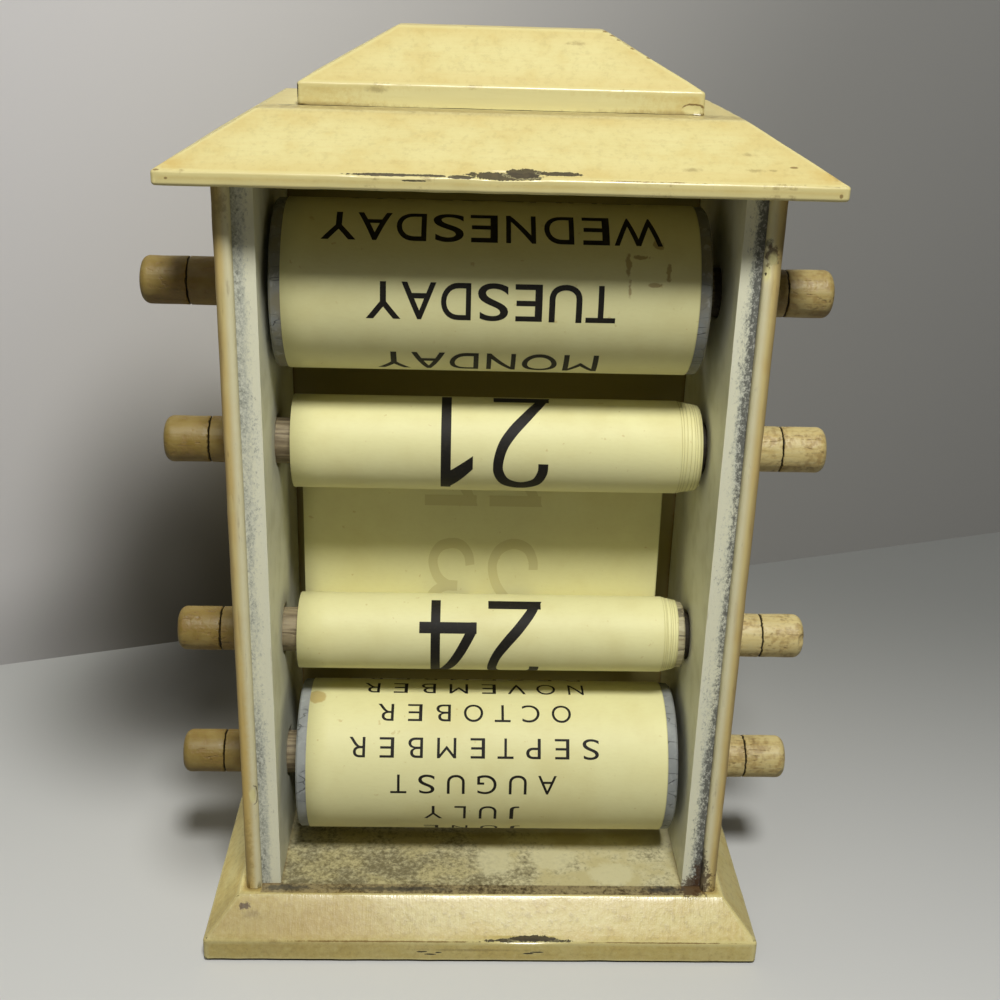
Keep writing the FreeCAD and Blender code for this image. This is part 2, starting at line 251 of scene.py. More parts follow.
class Finish:
    """One material, mixed from nodes that stand for brush marks, grain, dirt and wear, and in places for
    painted light and shade.
    """

    def __init__(self, name):
        self.material = bpy.data.materials.new(name)
        self.material.use_nodes = True
        self.tree = self.material.node_tree
        self.shader = self.tree.nodes["Principled BSDF"]
        metres = self.node("ShaderNodeTexCoord", {}, {}, "Object")
        self.place = self.vector("SCALE", metres, Scale=1000)
        self.across = self.node("ShaderNodeSeparateXYZ", {}, {0: self.place}, "X")
        self.deep = self.node("ShaderNodeSeparateXYZ", {}, {0: self.place}, "Y")
        self.high = self.node("ShaderNodeSeparateXYZ", {}, {0: self.place}, "Z")

    def node(self, kind, settings, values, output=0):
        """Adds a node of any kind: its settings first, then its sockets' values or wires."""
        made = self.tree.nodes.new(kind)
        for key, value in settings.items():
            setattr(made, key, value)
        for key, value in values.items():
            self.fill(made.inputs[key], value)
        return Wire(self, made.outputs[output])

    def fill(self, socket, value):
        """Puts a wire, a number or a colour into a socket."""
        if isinstance(value, Wire):
            self.tree.links.new(value.socket, socket)
        elif socket.type == "RGBA":
            socket.default_value = (*value[:3], 1)
        else:
            socket.default_value = value

    def vector(self, operation, *values, output=0, **named):
        sockets = {**dict(enumerate(values)), **named}
        return self.node("ShaderNodeVectorMath", {"operation": operation}, sockets, output)

    def mix(self, share, first, second):
        """The first colour where share is 0, the second where it is 1."""
        sockets = {0: share, 6: first, 7: second}
        return self.node("ShaderNodeMix", {"data_type": "RGBA"}, sockets, 2)

    def cloud(self, size, detail=2.0, stretch=(1, 1, 1), seed=0.0, rough=0.5):
        """Soft random patches about size millimetres across, from 0 to 1 and mostly near a half."""
        where = self.vector("MULTIPLY_ADD", self.place, stretch, (seed, seed * 1.7, -seed))
        sockets = {"Vector": where, "Scale": 1 / size, "Detail": detail, "Roughness": rough}
        return self.node("ShaderNodeTexNoise", {}, sockets)

    def cracks(self, size, stretch=(1, 1, 1), seed=0.0):
        """The distance to the nearest line of a net of cracks, 0 on the line."""
        where = self.vector("MULTIPLY_ADD", self.place, stretch, (seed, -seed, seed))
        bend = self.vector("SCALE", self.node("ShaderNodeTexNoise", {}, {
            "Vector": where, "Scale": 1.6 / size, "Detail": 2.0}, "Color"), Scale=size * 0.5)
        sockets = {"Vector": self.vector("ADD", where, bend), "Scale": 1 / size}
        return self.node("ShaderNodeTexVoronoi", {"feature": "DISTANCE_TO_EDGE"}, sockets)

    def blot(self, centre, reach, ragged, raggedness=0.7, soft=0.12):
        """1 inside an uneven patch round centre that reaches so many millimetres each way."""
        away = self.vector("DIVIDE", self.vector("SUBTRACT", self.place, centre), reach)
        length = self.vector("LENGTH", away, output="Value")
        inside = 1 - length + (ragged - 0.5) * (2 * raggedness)
        return inside.rise(0, soft)

    def measure(self, name):
        """A distance in millimetres that the mesh carries."""
        return self.node("ShaderNodeAttribute", {"attribute_name": name}, {}, "Fac")

    def done(self, colour, roughness, height=None, depth=0.1, **constants):
        """Joins colour, roughness and a bump of so many millimetres to the shader."""
        self.fill(self.shader.inputs["Base Color"], colour)
        self.fill(self.shader.inputs["Roughness"], roughness)
        if height is not None:
            sockets = {"Height": height, "Distance": depth * MM}
            self.fill(self.shader.inputs["Normal"], self.node("ShaderNodeBump", {}, sockets))
        for key, value in constants.items():
            self.shader.inputs[key.replace("_", " ").title().replace("Ior", "IOR")].default_value = value
        return self.material


def cream_paint(name, look, marks=(), tone=None, brush=(0.08, 1, 1), soil=0.3, inside=None):
    """Aged cream paint: brush marks, fine mottling, rubbed arrises with a painted highlight along them,
    painted shade in the inner corners, and named marks.

    brush shrinks the grain along the strokes, soil is the share of mottling and dirt, and inside
    gives the share of the paint inside the cabinet and its colour.
    """
    finish = Finish(name)
    edge = finish.measure("edge_mm")
    nook = finish.measure("nook_mm")
    broad = finish.cloud(34, 2)
    patch = finish.cloud(6, 4, seed=11)
    mottle = finish.cloud(1.5, 5, seed=23, rough=0.7)
    stroke = finish.cloud(0.9, 4, stretch=brush, seed=7, rough=0.65)
    grit = finish.cloud(0.5, 2, seed=31)
    ragged = finish.cloud(1.5, 6, seed=5, rough=0.72)

    colour = finish.mix((broad * 0.5 + patch * 0.5).rise(0.44, 0.6) * 0.35, tone or look.cream,
                        look.pale)
    colour = finish.mix((broad * 0.3 + patch * 0.7).fall(0.36, 0.5) * 0.24, colour, look.ochre)
    colour = finish.mix(stroke.rise(0.46, 0.7) * (0.16 + soil * 0.2), colour, look.lip)
    colour = finish.mix(mottle.rise(0.5, 0.66) * (0.08 + soil * 0.4), colour, look.speck)
    colour = finish.mix(mottle.fall(0.36, 0.48) * (0.12 + soil * 0.4), colour, look.pale)
    colour = finish.mix(edge.fall(0, 6) * (0.1 + patch * 0.32), colour, look.ochre)
    # Painted highlight: paler along the rounded arrises, where the paint is also rubbed.
    colour = finish.mix(edge.fall(0.05, 0.7) * (0.2 + mottle * 0.5), colour, look.pale)
    if inside is not None:
        share, paint = inside(finish)
        colour = finish.mix(share, colour, paint)

    speck = (grit + patch * 0.2).rise(0.8, 0.9) * (0.1 + soil * 0.2)
    colour = finish.mix(speck, colour, look.arris)
    # Painted shade: darker within about a millimetre of inner corners and of the neighbouring boards.
    crease = nook.fall(0, 1.1) * (0.3 + mottle * 0.5)
    colour = finish.mix(crease, colour, look.arris)

    line = edge.fall(0.1, 0.4) * (mottle * 0.5 + patch * 0.8).rise(0.74, 0.86)
    bare = edge.fall(0.05, 0.4) * (ragged * 0.8 + patch * 0.6).rise(0.93, 0.98)
    colour = finish.mix(line * 0.45, colour, look.arris)
    colour = finish.mix(bare * 0.7, colour, look.chip)
    broken = bare * 0.5
    for kind, centre, reach in marks:
        colour, broken = add_mark(finish, kind, centre, reach, colour, broken, look, ragged, mottle)

    height = stroke * 0.3 + mottle * (0.15 + soil * 0.3) - broken * 1.2 - speck * 0.2
    roughness = 0.34 + stroke * 0.12 - soil * mottle * 0.2 - edge.fall(0, 1) * 0.1 + broken * 0.4
    return finish.done(colour, roughness, height, 0.14, specular_ior_level=0.55)


# Each kind of mark: the name of its colour, its share, how ragged it is and how soft its edge.
MARK_LOOKS = {
    "chip": ("chip", 0.94, 0.9, 0.12),
    "crescent": ("chip", 0.85, 0.3, 0.12),
    "arc": ("arris", 0.9, 0.5, 0.12),
    "shade": ("speck", 0.42, 0.6, 1.0),
    "pale": ("pale", 0.95, 0.5, 0.5),
    "clean": ("clean", 0.75, 0.5, 0.35),
    "dark": ("mould", 0.7, 1.3, 0.6),
    "rust": ("rust", 0.85, 1.4, 0.4),
    "line": ("arris", 0.8, 0.9, 0.4),
    "smear": ("speck", 0.5, 1.2, 0.9),
    "ochre": ("ochre", 0.8, 0.6, 1.2),
}


# How far the hollow of a curved mark lies from its centre, in millimetres.
CURVED_MARKS = {"crescent": (0.5, 0, 0), "arc": (0.2, 0, -0.4)}


def add_mark(finish, kind, centre, reach, colour, broken, look, ragged, small):
    """Lays one named mark over the paint and returns the new colour and the broken share."""
    tint, share, raggedness, soft = MARK_LOOKS[kind]
    mask = finish.blot(centre, reach, ragged, raggedness, soft)
    paint = getattr(look, tint)
    if kind in CURVED_MARKS:
        middle = tuple(c + shift for c, shift in zip(centre, CURVED_MARKS[kind]))
        mask = mask * (1 - finish.blot(middle, reach, ragged, raggedness, soft))
    if kind == "chip":
        paint = finish.mix(small.rise(0.45, 0.7) * 0.4, paint, screen(92, 76, 44))
        rim = finish.blot(centre, tuple(r * 1.08 + 0.1 for r in reach), ragged, raggedness, soft)
        colour = finish.mix(rim * 0.35, colour, look.pale)
        broken = broken.most(mask)
    return finish.mix(mask * share, colour, paint), broken


def weld(node):
    """A bmesh copy of a CAD node in which neighbouring faces share their corners."""
    copied = bmesh.new()
    copied.from_mesh(frame["nodes"][node].data)
    bmesh.ops.remove_doubles(copied, verts=copied.verts, dist=0.002 * MM)
    bmesh.ops.dissolve_limit(
        copied, angle_limit=math.radians(0.4), verts=copied.verts, edges=copied.edges
    )
    return copied


def slice_mesh(solid, axis, places):
    """Cuts the whole mesh at each place, in millimetres along the axis."""
    normal = Vector([float(k == axis) for k in range(3)])
    for place in places:
        everything = [*solid.verts, *solid.edges, *solid.faces]
        bmesh.ops.bisect_plane(
            solid, geom=everything, plane_co=normal * (place * MM), plane_no=normal,
            dist=0.004 * MM,
        )


def cell_lines(low, high, cell, fine=()):
    """Cutting places between low and high, closer together beside each fine place."""
    count = max(1, round((high - low) / cell))
    lines = [low + (high - low) * k / count for k in range(1, count)]
    near = [place + step for place in fine for step in (-2.2, -1.1, -0.45, 0.45, 1.1, 2.2)]
    return sorted(set(round(v, 3) for v in lines + near if low + 0.2 < v < high - 0.2))


def narrow(face):
    """Whether a face is one of the thin strips of a rounded edge."""
    return 2 * face.calc_area() / max(face.calc_perimeter(), 1e-9) < 0.75 * MM


def mark_strips(solid):
    """Remembers the rounded edges' strips before the mesh is cut up."""
    layer = solid.faces.layers.int.new("strip")
    for face in solid.faces:
        face[layer] = int(narrow(face))
    return layer


def distance_field(solid, chosen, limit=12.0):
    """Each vertex's distance in millimetres to the nearest chosen vertex."""
    tree = KDTree(len(chosen))
    for k, vertex in enumerate(chosen):
        tree.insert(vertex.co, k)
    tree.balance()
    if not chosen:
        return [limit] * len(solid.verts)
    return [min(limit, tree.find(vertex.co)[2] / MM) for vertex in solid.verts]


def hollow_depth(point, dents):
    """How far the dents lower the surface at a point, in millimetres."""
    depth = 0.0
    for centre, reach, deep in dents:
        away = sum(((p - c) / r) ** 2 for p, c, r in zip(point, centre, reach))
        if away < 1:
            depth = max(depth, deep * math.sqrt(1 - away))
    return depth


def worn_board(node, name, body, material, look, fine=((), (), ()), neighbours=(), dents=(),
               cell=None, wobble=1.0, seed=0.0):
    """Replaces a wooden CAD node by a hand-worn copy of it that never grows past the node."""
    solid = weld(node)
    strip = mark_strips(solid)
    low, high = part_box(node)
    for axis in range(3):
        lines = cell_lines(low[axis] / MM, high[axis] / MM, cell or look.cell / MM, fine[axis])
        slice_mesh(solid, axis, lines)
    solid.verts.ensure_lookup_table()
    solid.normal_update()
    rounded = {v for face in solid.faces if face[strip] for v in face.verts}
    inner = set()
    for line in solid.edges:
        if len(line.link_faces) != 2:
            continue
        turn = line.calc_face_angle_signed(0)
        if turn > math.radians(24):
            rounded.update(line.verts)
        elif turn < -math.radians(24):
            inner.update(line.verts)
    edge = distance_field(solid, list(rounded - inner))
    nook = distance_field(solid, list(inner))
    trees = []
    for other in neighbours:
        mesh = bmesh.new()
        mesh.from_mesh(frame["nodes"][other].data)
        trees.append(BVHTree.FromBMesh(mesh))
        mesh.free()
    moves = []
    for k, vertex in enumerate(solid.verts):
        found = [tree.find_nearest(vertex.co, 12 * MM)[3] for tree in trees]
        nook[k] = min([nook[k]] + [d / MM for d in found if d is not None])
        point = vertex.co / MM
        wave = 0.5 + 0.5 * noise.noise(point * 0.045 + Vector((seed, 0, seed)))
        rub = 0.5 + 0.9 * noise.noise(point * 0.21 + Vector((0, seed, 3)))
        depth = look.wobble / MM * wobble * min(1, max(0, wave))
        depth += look.rubbed / MM * max(0, rub) * math.exp(-edge[k] / 0.9)
        depth += hollow_depth(point, dents)
        moves.append(vertex.normal * (-depth * MM))
    for vertex, move in zip(solid.verts, moves):
        vertex.co += move
    piece = add_piece(name, solid, body, material, stands_for=[node])
    for label, values in (("edge_mm", edge), ("nook_mm", nook)):
        layer = piece.data.attributes.new(label, "FLOAT", "POINT")
        layer.data.foreach_set("value", values)
    shading = piece.modifiers.new("even_shading", "WEIGHTED_NORMAL")
    shading.keep_sharp = True
    return piece


def add_piece(name, solid, body, material, stands_for=(), sharp=34):
    """Turns a bmesh into a piece that rides on a body."""
    mesh = bpy.data.meshes.new(name)
    solid.to_mesh(mesh)
    solid.free()
    if not mesh.polygons:
        raise RuntimeError(f"{name} came out empty")
    mesh.materials.append(material)
    mesh.shade_smooth()
    mesh.set_sharp_from_angle(angle=math.radians(sharp))
    piece = bpy.data.objects.new(name, mesh)
    bpy.context.scene.collection.objects.link(piece)
    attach(piece, body)
    if stands_for:
        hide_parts(*stands_for)
    return piece


def paint_node(node, material):
    """Gives a CAD node that stays its material."""
    held = frame["nodes"][node]
    held.data.materials.clear()
    held.data.materials.append(material)


# Each mark: its kind, its centre and how far it reaches each way. Each dent: a centre, a reach and
# a depth.
EAVE_MARKS = (
    ("chip", (-0.4, 38.2, 175.45), (7.4, 1.5, 0.85)),
    ("chip", (-3.6, 37.5, 175.85), (4.0, 1.6, 0.95)),
    ("chip", (-10.0, 37.4, 175.9), (3.8, 0.9, 0.45)),
    ("chip", (7.4, 38.8, 175.1), (2.8, 0.9, 0.36)),
    ("chip", (19.2, 38.55, 175.2), (9.4, 0.56, 0.28)),
    ("line", (-24.0, 39.0, 175.1), (17.0, 0.5, 0.2)),
    ("chip", (15.8, 39.1, 174.3), (2.4, 0.6, 0.2)),
    ("smear", (-49.0, 35.2, 177.1), (1.2, 0.5, 0.3)),
    ("line", (-52.9, 34.3, 177.6), (0.9, 0.4, 0.25)),
    ("smear", (-34.5, 35.5, 176.9), (2.8, 0.9, 0.5)),
    ("smear", (-46.0, 35.3, 177.0), (3.2, 0.8, 0.5)),
    # These two marks darken the eave's flat strip beside the cap.
    ("shade", (0, 19.4, 184.7), (90, 9.0, 1.0)),
    ("smear", (0, 18.0, 184.7), (80, 5.0, 0.8)),
    # Painted shadow at the foot of the cap's +X end.
    ("dark", (41.0, 15.6, 184.7), (2.0, 0.8, 0.3)),
    ("ochre", (-59.6, 36.0, 176.4), (5.6, 4.6, 2.6)),
    ("ochre", (59.0, 36.4, 176.0), (5.0, 4.0, 2.0)),
    ("smear", (-45.0, 31.3, 179.3), (1.4, 0.8, 0.5)),
    ("line", (59.9, 39.0, 173.7), (0.4, 0.5, 0.3)),
    ("line", (61.6, 38.6, 175.1), (0.7, 0.6, 0.22)),
    ("line", (-60.9, 38.9, 173.4), (0.5, 0.6, 0.5)),
)
EAVE_DENTS = (
    ((-0.6, 38.2, 175.5), (6.6, 2.0, 1.0), 0.34),
    ((-9.8, 37.2, 176.1), (3.0, 0.9, 0.5), 0.15),
    ((19.4, 39.0, 175.05), (8.4, 0.9, 0.4), 0.14),
)
CAP_MARKS = (
    # Painted highlight: paler over the cap's band.
    ("pale", (0, 15.6, 186.4), (44, 1.2, 3.2)),
    ("chip", (39.2, 15.4, 187.2), (0.35, 0.6, 2.6)),
    ("pale", (-37.0, 15.5, 185.7), (2.6, 1.2, 1.2)),
    ("arc", (-37.0, 15.5, 185.8), (2.4, 1.2, 1.1)),
    ("line", (-20.6, 4.0, 199.1), (1.3, 0.5, 0.5)),
    ("line", (-21.9, 4.9, 198.4), (0.9, 0.4, 0.4)),
    ("line", (-23.1, 5.7, 197.8), (1.0, 0.45, 0.45)),
    ("line", (-24.4, 6.5, 197.1), (0.9, 0.4, 0.4)),
    ("line", (-25.7, 7.3, 196.3), (0.9, 0.4, 0.4)),
    ("line", (-28.6, 9.0, 194.7), (0.7, 0.4, 0.4)),
    ("smear", (24.0, 15.4, 187.9), (2.6, 1.2, 0.9)),
    ("smear", (-14.5, 6.8, 196.8), (2.4, 0.7, 1.0)),
)
CAP_DENTS = (
    ((-37.2, 15.6, 185.6), (2.2, 1.1, 1.0), 0.3),
    ((-23.4, 6.1, 197.4), (3.4, 1.4, 1.3), 0.2),
)
BASE_MARKS = (
    ("ochre", (38, 36, 9), (30, 9, 9)),
    ("chip", (-9.6, 38.8, 6.0), (9.8, 0.8, 0.42)),
    ("chip", (-11.4, 38.5, 6.3), (5.4, 1.0, 0.7)),
    ("shade", (52, 36, 9), (62, 12, 12)),
    ("line", (24.0, 39.0, 5.75), (26.0, 0.8, 0.2)),
    ("line", (-40.0, 39.0, 5.75), (20.0, 0.8, 0.16)),
    ("chip", (13.4, 39.0, 3.1), (1.2, 0.7, 0.2)),
    ("chip", (11.7, 39.0, 2.4), (1.3, 0.7, 0.26)),
    ("chip", (9.9, 39.0, 2.9), (0.8, 0.7, 0.2)),
    ("chip", (-10.6, 39.0, 2.7), (1.2, 0.7, 0.22)),
    ("chip", (-12.6, 39.0, 3.1), (1.5, 0.7, 0.2)),
    ("smear", (1.0, 39.0, 3.6), (18.0, 0.7, 0.5)),
    ("clean", (-3.1, 19.2, 13.2), (5.2, 6.6, 0.8)),
    ("clean", (-16.8, 18.4, 13.2), (6.4, 5.4, 0.8)),
    ("clean", (-30.5, 23.8, 13.2), (6.2, 4.8, 0.8)),
    ("rust", (-48.6, 29.4, 13.2), (4.2, 3.0, 1.0)),
    ("dark", (44.6, 29.6, 13.2), (7.0, 1.3, 0.6)),
    ("dark", (-41.8, 29.4, 13.2), (6.0, 1.4, 0.6)),
    ("dark", (20.0, 29.8, 13.2), (18.0, 1.0, 0.6)),
    ("rust", (54.1, 33.7, 11.2), (1.6, 0.9, 0.9)),
    ("smear", (52.0, 35.0, 10.0), (3.0, 1.4, 1.4)),
)
BASE_DENTS = (
    ((-9.6, 39.05, 5.9), (8.0, 1.2, 0.6), 0.3),
)
RIGHT_HAND_MARKS = (
    ("ochre", (53.2, 30.3, 40.0), (2.4, 2.4, 52.0)),
    ("smear", (53.1, 30.3, 22.0), (1.2, 1.6, 13.0)),
    ("pale", (51.4, 30.3, 38.4), (1.1, 1.0, 2.4)),
    ("crescent", (51.1, 30.3, 38.4), (1.4, 1.6, 2.7)),
    ("smear", (52.0, 30.3, 168.0), (2.0, 1.0, 3.4)),
)
RIGHT_HAND_DENTS = (
    ((50.3, 30.3, 38.4), (0.8, 1.2, 3.1), 0.2),
)
LEFT_HAND_MARKS = (
    ("dark", (-50.6, 29.8, 163.0), (1.3, 1.8, 1.2)),
    ("pale", (-51.1, 30.2, 157.6), (1.0, 1.8, 2.6)),
    ("rust", (-51.4, 30.2, 160.6), (1.8, 1.8, 2.3)),
    ("pale", (-51.9, 30.2, 159.9), (1.1, 1.8, 1.7)),
    ("chip", (-50.75, 30.2, 157.2), (0.35, 0.8, 0.5)),
    ("rust", (-50.8, 29.0, 15.6), (2.6, 2.6, 7.0)),
    ("dark", (-50.9, 28.8, 21.0), (1.2, 1.8, 6.5)),
    ("rust", (-48.6, 28.6, 14.0), (2.6, 1.6, 2.2)),
)
LEFT_HAND_DENTS = (
    ((-50.9, 30.4, 159.6), (1.9, 1.6, 3.0), 0.7),
)


def floor_inside(look):
    """The paint of the floor between the side panels, and of the dirty strip behind it."""
    def inside(finish):
        top = finish.high.rise(12.7, 13.1) * abs(finish.across).fall(50.4, 50.8)
        share = top * finish.deep.rise(-29, -27) * finish.deep.fall(31.2, 31.7)
        fine = finish.cloud(1.1, 5, seed=43, rough=0.75)
        soft = finish.cloud(8, 3, seed=41)
        where = finish.across.rise(-30, 22) * 0.1 + finish.deep.rise(9, 20) * 0.06
        paint = finish.mix(soft.rise(0.4, 0.6), screen(196, 186, 138), screen(212, 205, 164))
        dirt = fine * 0.55 + soft * 0.45 + where
        paint = finish.mix(dirt.rise(0.53, 0.74) * 0.8, paint, look.dirt)
        strip = finish.mix((fine * 0.7 + soft * 0.3).rise(0.44, 0.62), screen(152, 138, 100),
                           screen(70, 56, 38))
        return share, finish.mix(finish.deep.rise(28.0, 28.4), paint, strip)
    return inside


def front_inside(look):
    """A darker colour on the back of the front board."""
    def inside(finish):
        return finish.deep.rise(-21.2, -20.6), tuple(look.dark)
    return inside


class CALENDAR_OT_cabinet(bpy.types.Operator):
    """Replace the cabinet's boards by worn, painted ones"""

    bl_idname = "calendar.cabinet"
    bl_label = "Cabinet boards"

    def execute(self, context):
        look = context.scene.calendar_cabinet
        roof = cream_paint("cream_paint_roof", look, EAVE_MARKS + CAP_MARKS, soil=0.12)
        base = cream_paint("cream_paint_base", look, BASE_MARKS, brush=(1, 0.12, 0.12), soil=0.6,
                           inside=floor_inside(look), tone=screen(206, 190, 116))
        left = side_paint("cream_paint_left_side", look, LEFT_HAND_MARKS, -1, 1.2)
        right = side_paint("cream_paint_right_side", look, RIGHT_HAND_MARKS, 1, 0.34)
        front = cream_paint("cream_paint_front", look, (), brush=(1, 1, 0.1), soil=0.3,
                            inside=front_inside(look))
        worn_board(
            "roof_eave", "eave_board", "cabinet", roof, look,
            fine=((-62.8, 62.8, -46, 46), (-39.05, 39.05, 22.25, -22.25), (174.96, 184.66)),
            neighbours=("roof_cap", "side_panel_left", "side_panel_right"), dents=EAVE_DENTS,
        )
        worn_board(
            "roof_cap", "cap_board", "cabinet", roof, look,
            fine=((-39.25, 39.25, -20.35, 20.35), (-15.5, 15.5, 4, -4), (188.78, 184.66)),
            neighbours=("roof_eave",), dents=CAP_DENTS, seed=4.0,
        )
        worn_board(
            "base_plinth", "base_board", "cabinet", base, look,
            fine=((-62.8, 62.8, 54, -54), (-39.05, 39.05, 30.25, 28.25, 31.75), (5.7, 13.2, 0.8)),
            neighbours=("side_panel_left", "side_panel_right", "front_panel"), dents=BASE_DENTS,
            seed=9.0,
        )
        for node, name, paint, sign, dents in (
            ("side_panel_left", "left_side_board", left, -1, LEFT_HAND_DENTS),
            ("side_panel_right", "right_side_board", right, 1, RIGHT_HAND_DENTS),
        ):
            worn_board(
                node, name, "cabinet", paint, look,
                fine=((50.5 * sign, 54 * sign), (28.25, 30.25, -30.25), (38.4, 161.0)),
                neighbours=("roof_eave", "base_plinth", "front_panel"), dents=dents, seed=sign * 6,
            )
        worn_board(
            "front_panel", "front_board", "cabinet", front, look,
            neighbours=("roof_eave", "base_plinth", "side_panel_left", "side_panel_right"),
            seed=15.0, cell=2.6,
        )
        return {"FINISHED"}


def side_paint(name, look, marks, sign, mouldy):
    """Cream paint with streaks down the lip, a pale crest and a dark outer round on the lip that carry
    painted highlight and painted shade, and mould where the back panel would sit.
    """
    finish = Finish(name)
    edge = finish.measure("edge_mm")
    streak = finish.cloud(1.0, 4, stretch=(1, 1, 0.1), seed=3, rough=0.6)
    run = finish.cloud(2.6, 3, stretch=(1, 1, 0.14), seed=8)
    broad = finish.cloud(26, 2)
    patch = finish.cloud(6, 4, seed=11)
    small = finish.cloud(1.8, 3, seed=23)
    grain = finish.cloud(0.55, 4, stretch=(1, 1, 0.7), seed=37, rough=0.8)
    ragged = finish.cloud(1.0, 6, seed=5, rough=0.72)
    out = finish.across * sign

    colour = finish.mix((run * 0.5 + patch * 0.5).rise(0.4, 0.62) * 0.45, look.lip, look.cream)
    colour = finish.mix(streak.rise(0.5, 0.74) * 0.22, colour, look.arris)
    colour = finish.mix((broad * 0.5 + patch * 0.5).fall(0.36, 0.5) * 0.3, colour, look.ochre)
    # The lip's inner crest is paler and its outer round darker: cleaner paint and brown wear, with
    # painted highlight on the crest and painted shade on the outer round.
    crest = out.fall(51.2, 52.8) * finish.deep.rise(28.4, 28.6)
    colour = finish.mix(crest * (0.7 + small * 0.3), colour, screen(228, 222, 182))
    outer = (out.rise(51.9, 53.8) + (run - 0.5) * 0.9) * finish.deep.rise(27, 29)
    colour = finish.mix(outer.rise(0.2, 1.0) * 0.54, colour, look.arris)

    inner = out.fall(50.55, 50.7) * finish.deep.fall(28.34, 28.44) * finish.deep.rise(-26, -24)
    wall = finish.mix(patch.rise(0.42, 0.7) * 0.3, look.inside, screen(190, 188, 152))
    seat = finish.deep.rise(27.9, 28.05) * inner
    seat_paint = finish.mix(run.rise(0.45, 0.7) * 0.3, screen(232, 230, 200), look.inside)
    colour = finish.mix(inner, colour, finish.mix(seat, wall, seat_paint))

    ends = (finish.high.rise(92, 160) + finish.high.fall(22, 66)).least(1)
    near = out.rise(46.3, 50.6)
    film = near * (0.5 + ends * 0.35) + (run - 0.5) * 0.8 + (grain - 0.5) * 1.1
    colour = finish.mix(film.rise(0.1, 0.7) * seat * 0.6, colour, look.film)
    reach = near * (0.1 + ends * 0.62) + near.rise(0.6, 0.95) * 0.44
    mould = reach * mouldy * 0.66 + (grain - 0.5) * 1.9 + (run - 0.5) * 0.7
    mould = mould.rise(0.12, 0.72) * near.rise(-0.1, 0.25) * seat
    colour = finish.mix(mould * 0.78, colour, look.mould)
    dusty = grain.fall(0.4, 0.5) * film.rise(0.2, 0.6) * seat
    colour = finish.mix(dusty * 0.35, colour, screen(236, 236, 222))
    speck = (grain + patch * 0.2).rise(0.78, 0.86) * 0.4
    colour = finish.mix(speck, colour, look.speck)

    line = edge.fall(0.1, 0.4) * (streak * 0.8 + small * 0.4).rise(0.68, 0.86)
    colour = finish.mix(line * 0.35, colour, look.arris)
    broken = line * 0.2
    for kind, centre, reached in marks:
        colour, broken = add_mark(finish, kind, centre, reached, colour, broken, look, ragged,
                                  small)
    height = streak * 0.3 + grain * seat * 0.5 - broken * 1.1 - mould * 0.3
    roughness = 0.44 + patch * 0.14 + mould * 0.25
    return finish.done(colour, roughness, height, 0.13, specular_ior_level=0.45)


class CALENDAR_OT_fixings(bpy.types.Operator):
    """Finish the felt under the base and the screws and dowels inside the boards"""

    bl_idname = "calendar.fixings"
    bl_label = "Felt, screws and dowels"

    def execute(self, context):
        felt = Finish("felt")
        fluff = felt.cloud(0.5, 4, seed=2, rough=0.7)
        colour = felt.mix(fluff.rise(0.35, 0.7), screen(30, 27, 22), screen(62, 56, 46))
        paint_node("felt_pad", felt.done(colour, 0.95, fluff, 0.2, sheen_weight=0.4))
        steel = Finish("screw_steel")
        turned = steel.cloud(0.8, 3, stretch=(1, 1, 5), seed=6)
        colour = steel.mix(turned.rise(0.3, 0.7), screen(120, 118, 112), screen(172, 170, 164))
        metal = steel.done(colour, 0.35 + turned * 0.25, turned, 0.03, metallic=1.0)
        paint_node("base_screws", metal)
        paint_node("cap_screws", metal)
        paint_node("eave_dowels", bare_wood("dowel_wood", context.scene.calendar_roller, (1, 1, 0.1)))
        return {"FINISHED"}


def bare_wood(name, look, stretch, dark=None, light=None):
    """Unpainted beech with fine grain, short dark pores and a few cracks."""
    finish = Finish(name)
    grain = finish.cloud(0.9, 4, stretch=stretch, seed=4)
    pore = finish.cloud(0.35, 2, stretch=stretch, seed=14)
    crack = finish.cracks(4.5, stretch=stretch, seed=2).fall(0.01, 0.03)
    colour = finish.mix(grain.rise(0.3, 0.72), dark or look.bare, light or screen(206, 184, 158))
    colour = finish.mix(pore.rise(0.6, 0.7) * 0.6, colour, screen(112, 84, 62))
    colour = finish.mix(crack * 0.6, colour, screen(48, 34, 26))
    return finish.done(colour, 0.62, grain * 0.5 - crack - pore.rise(0.6, 0.7) * 0.4, 0.1)


DAY_Z = 148.2
UPPER_Z = 113.5
LOWER_Z = 67.5
MONTH_Z = 34.7
# Each roller's body: the start of its nodes' names, its axle's height and its shift along the axle.
ROLLERS = {
    "day_roller": ("day", DAY_Z, 1.3),
    "date_upper_roller": ("date_upper", UPPER_Z, -1.3),
    "date_lower_roller": ("date_lower", LOWER_Z, -1.4),
    "month_roller": ("month", MONTH_Z, -0.7),
}
AXLE_Y = 6.25
JOINT_X = 61.9


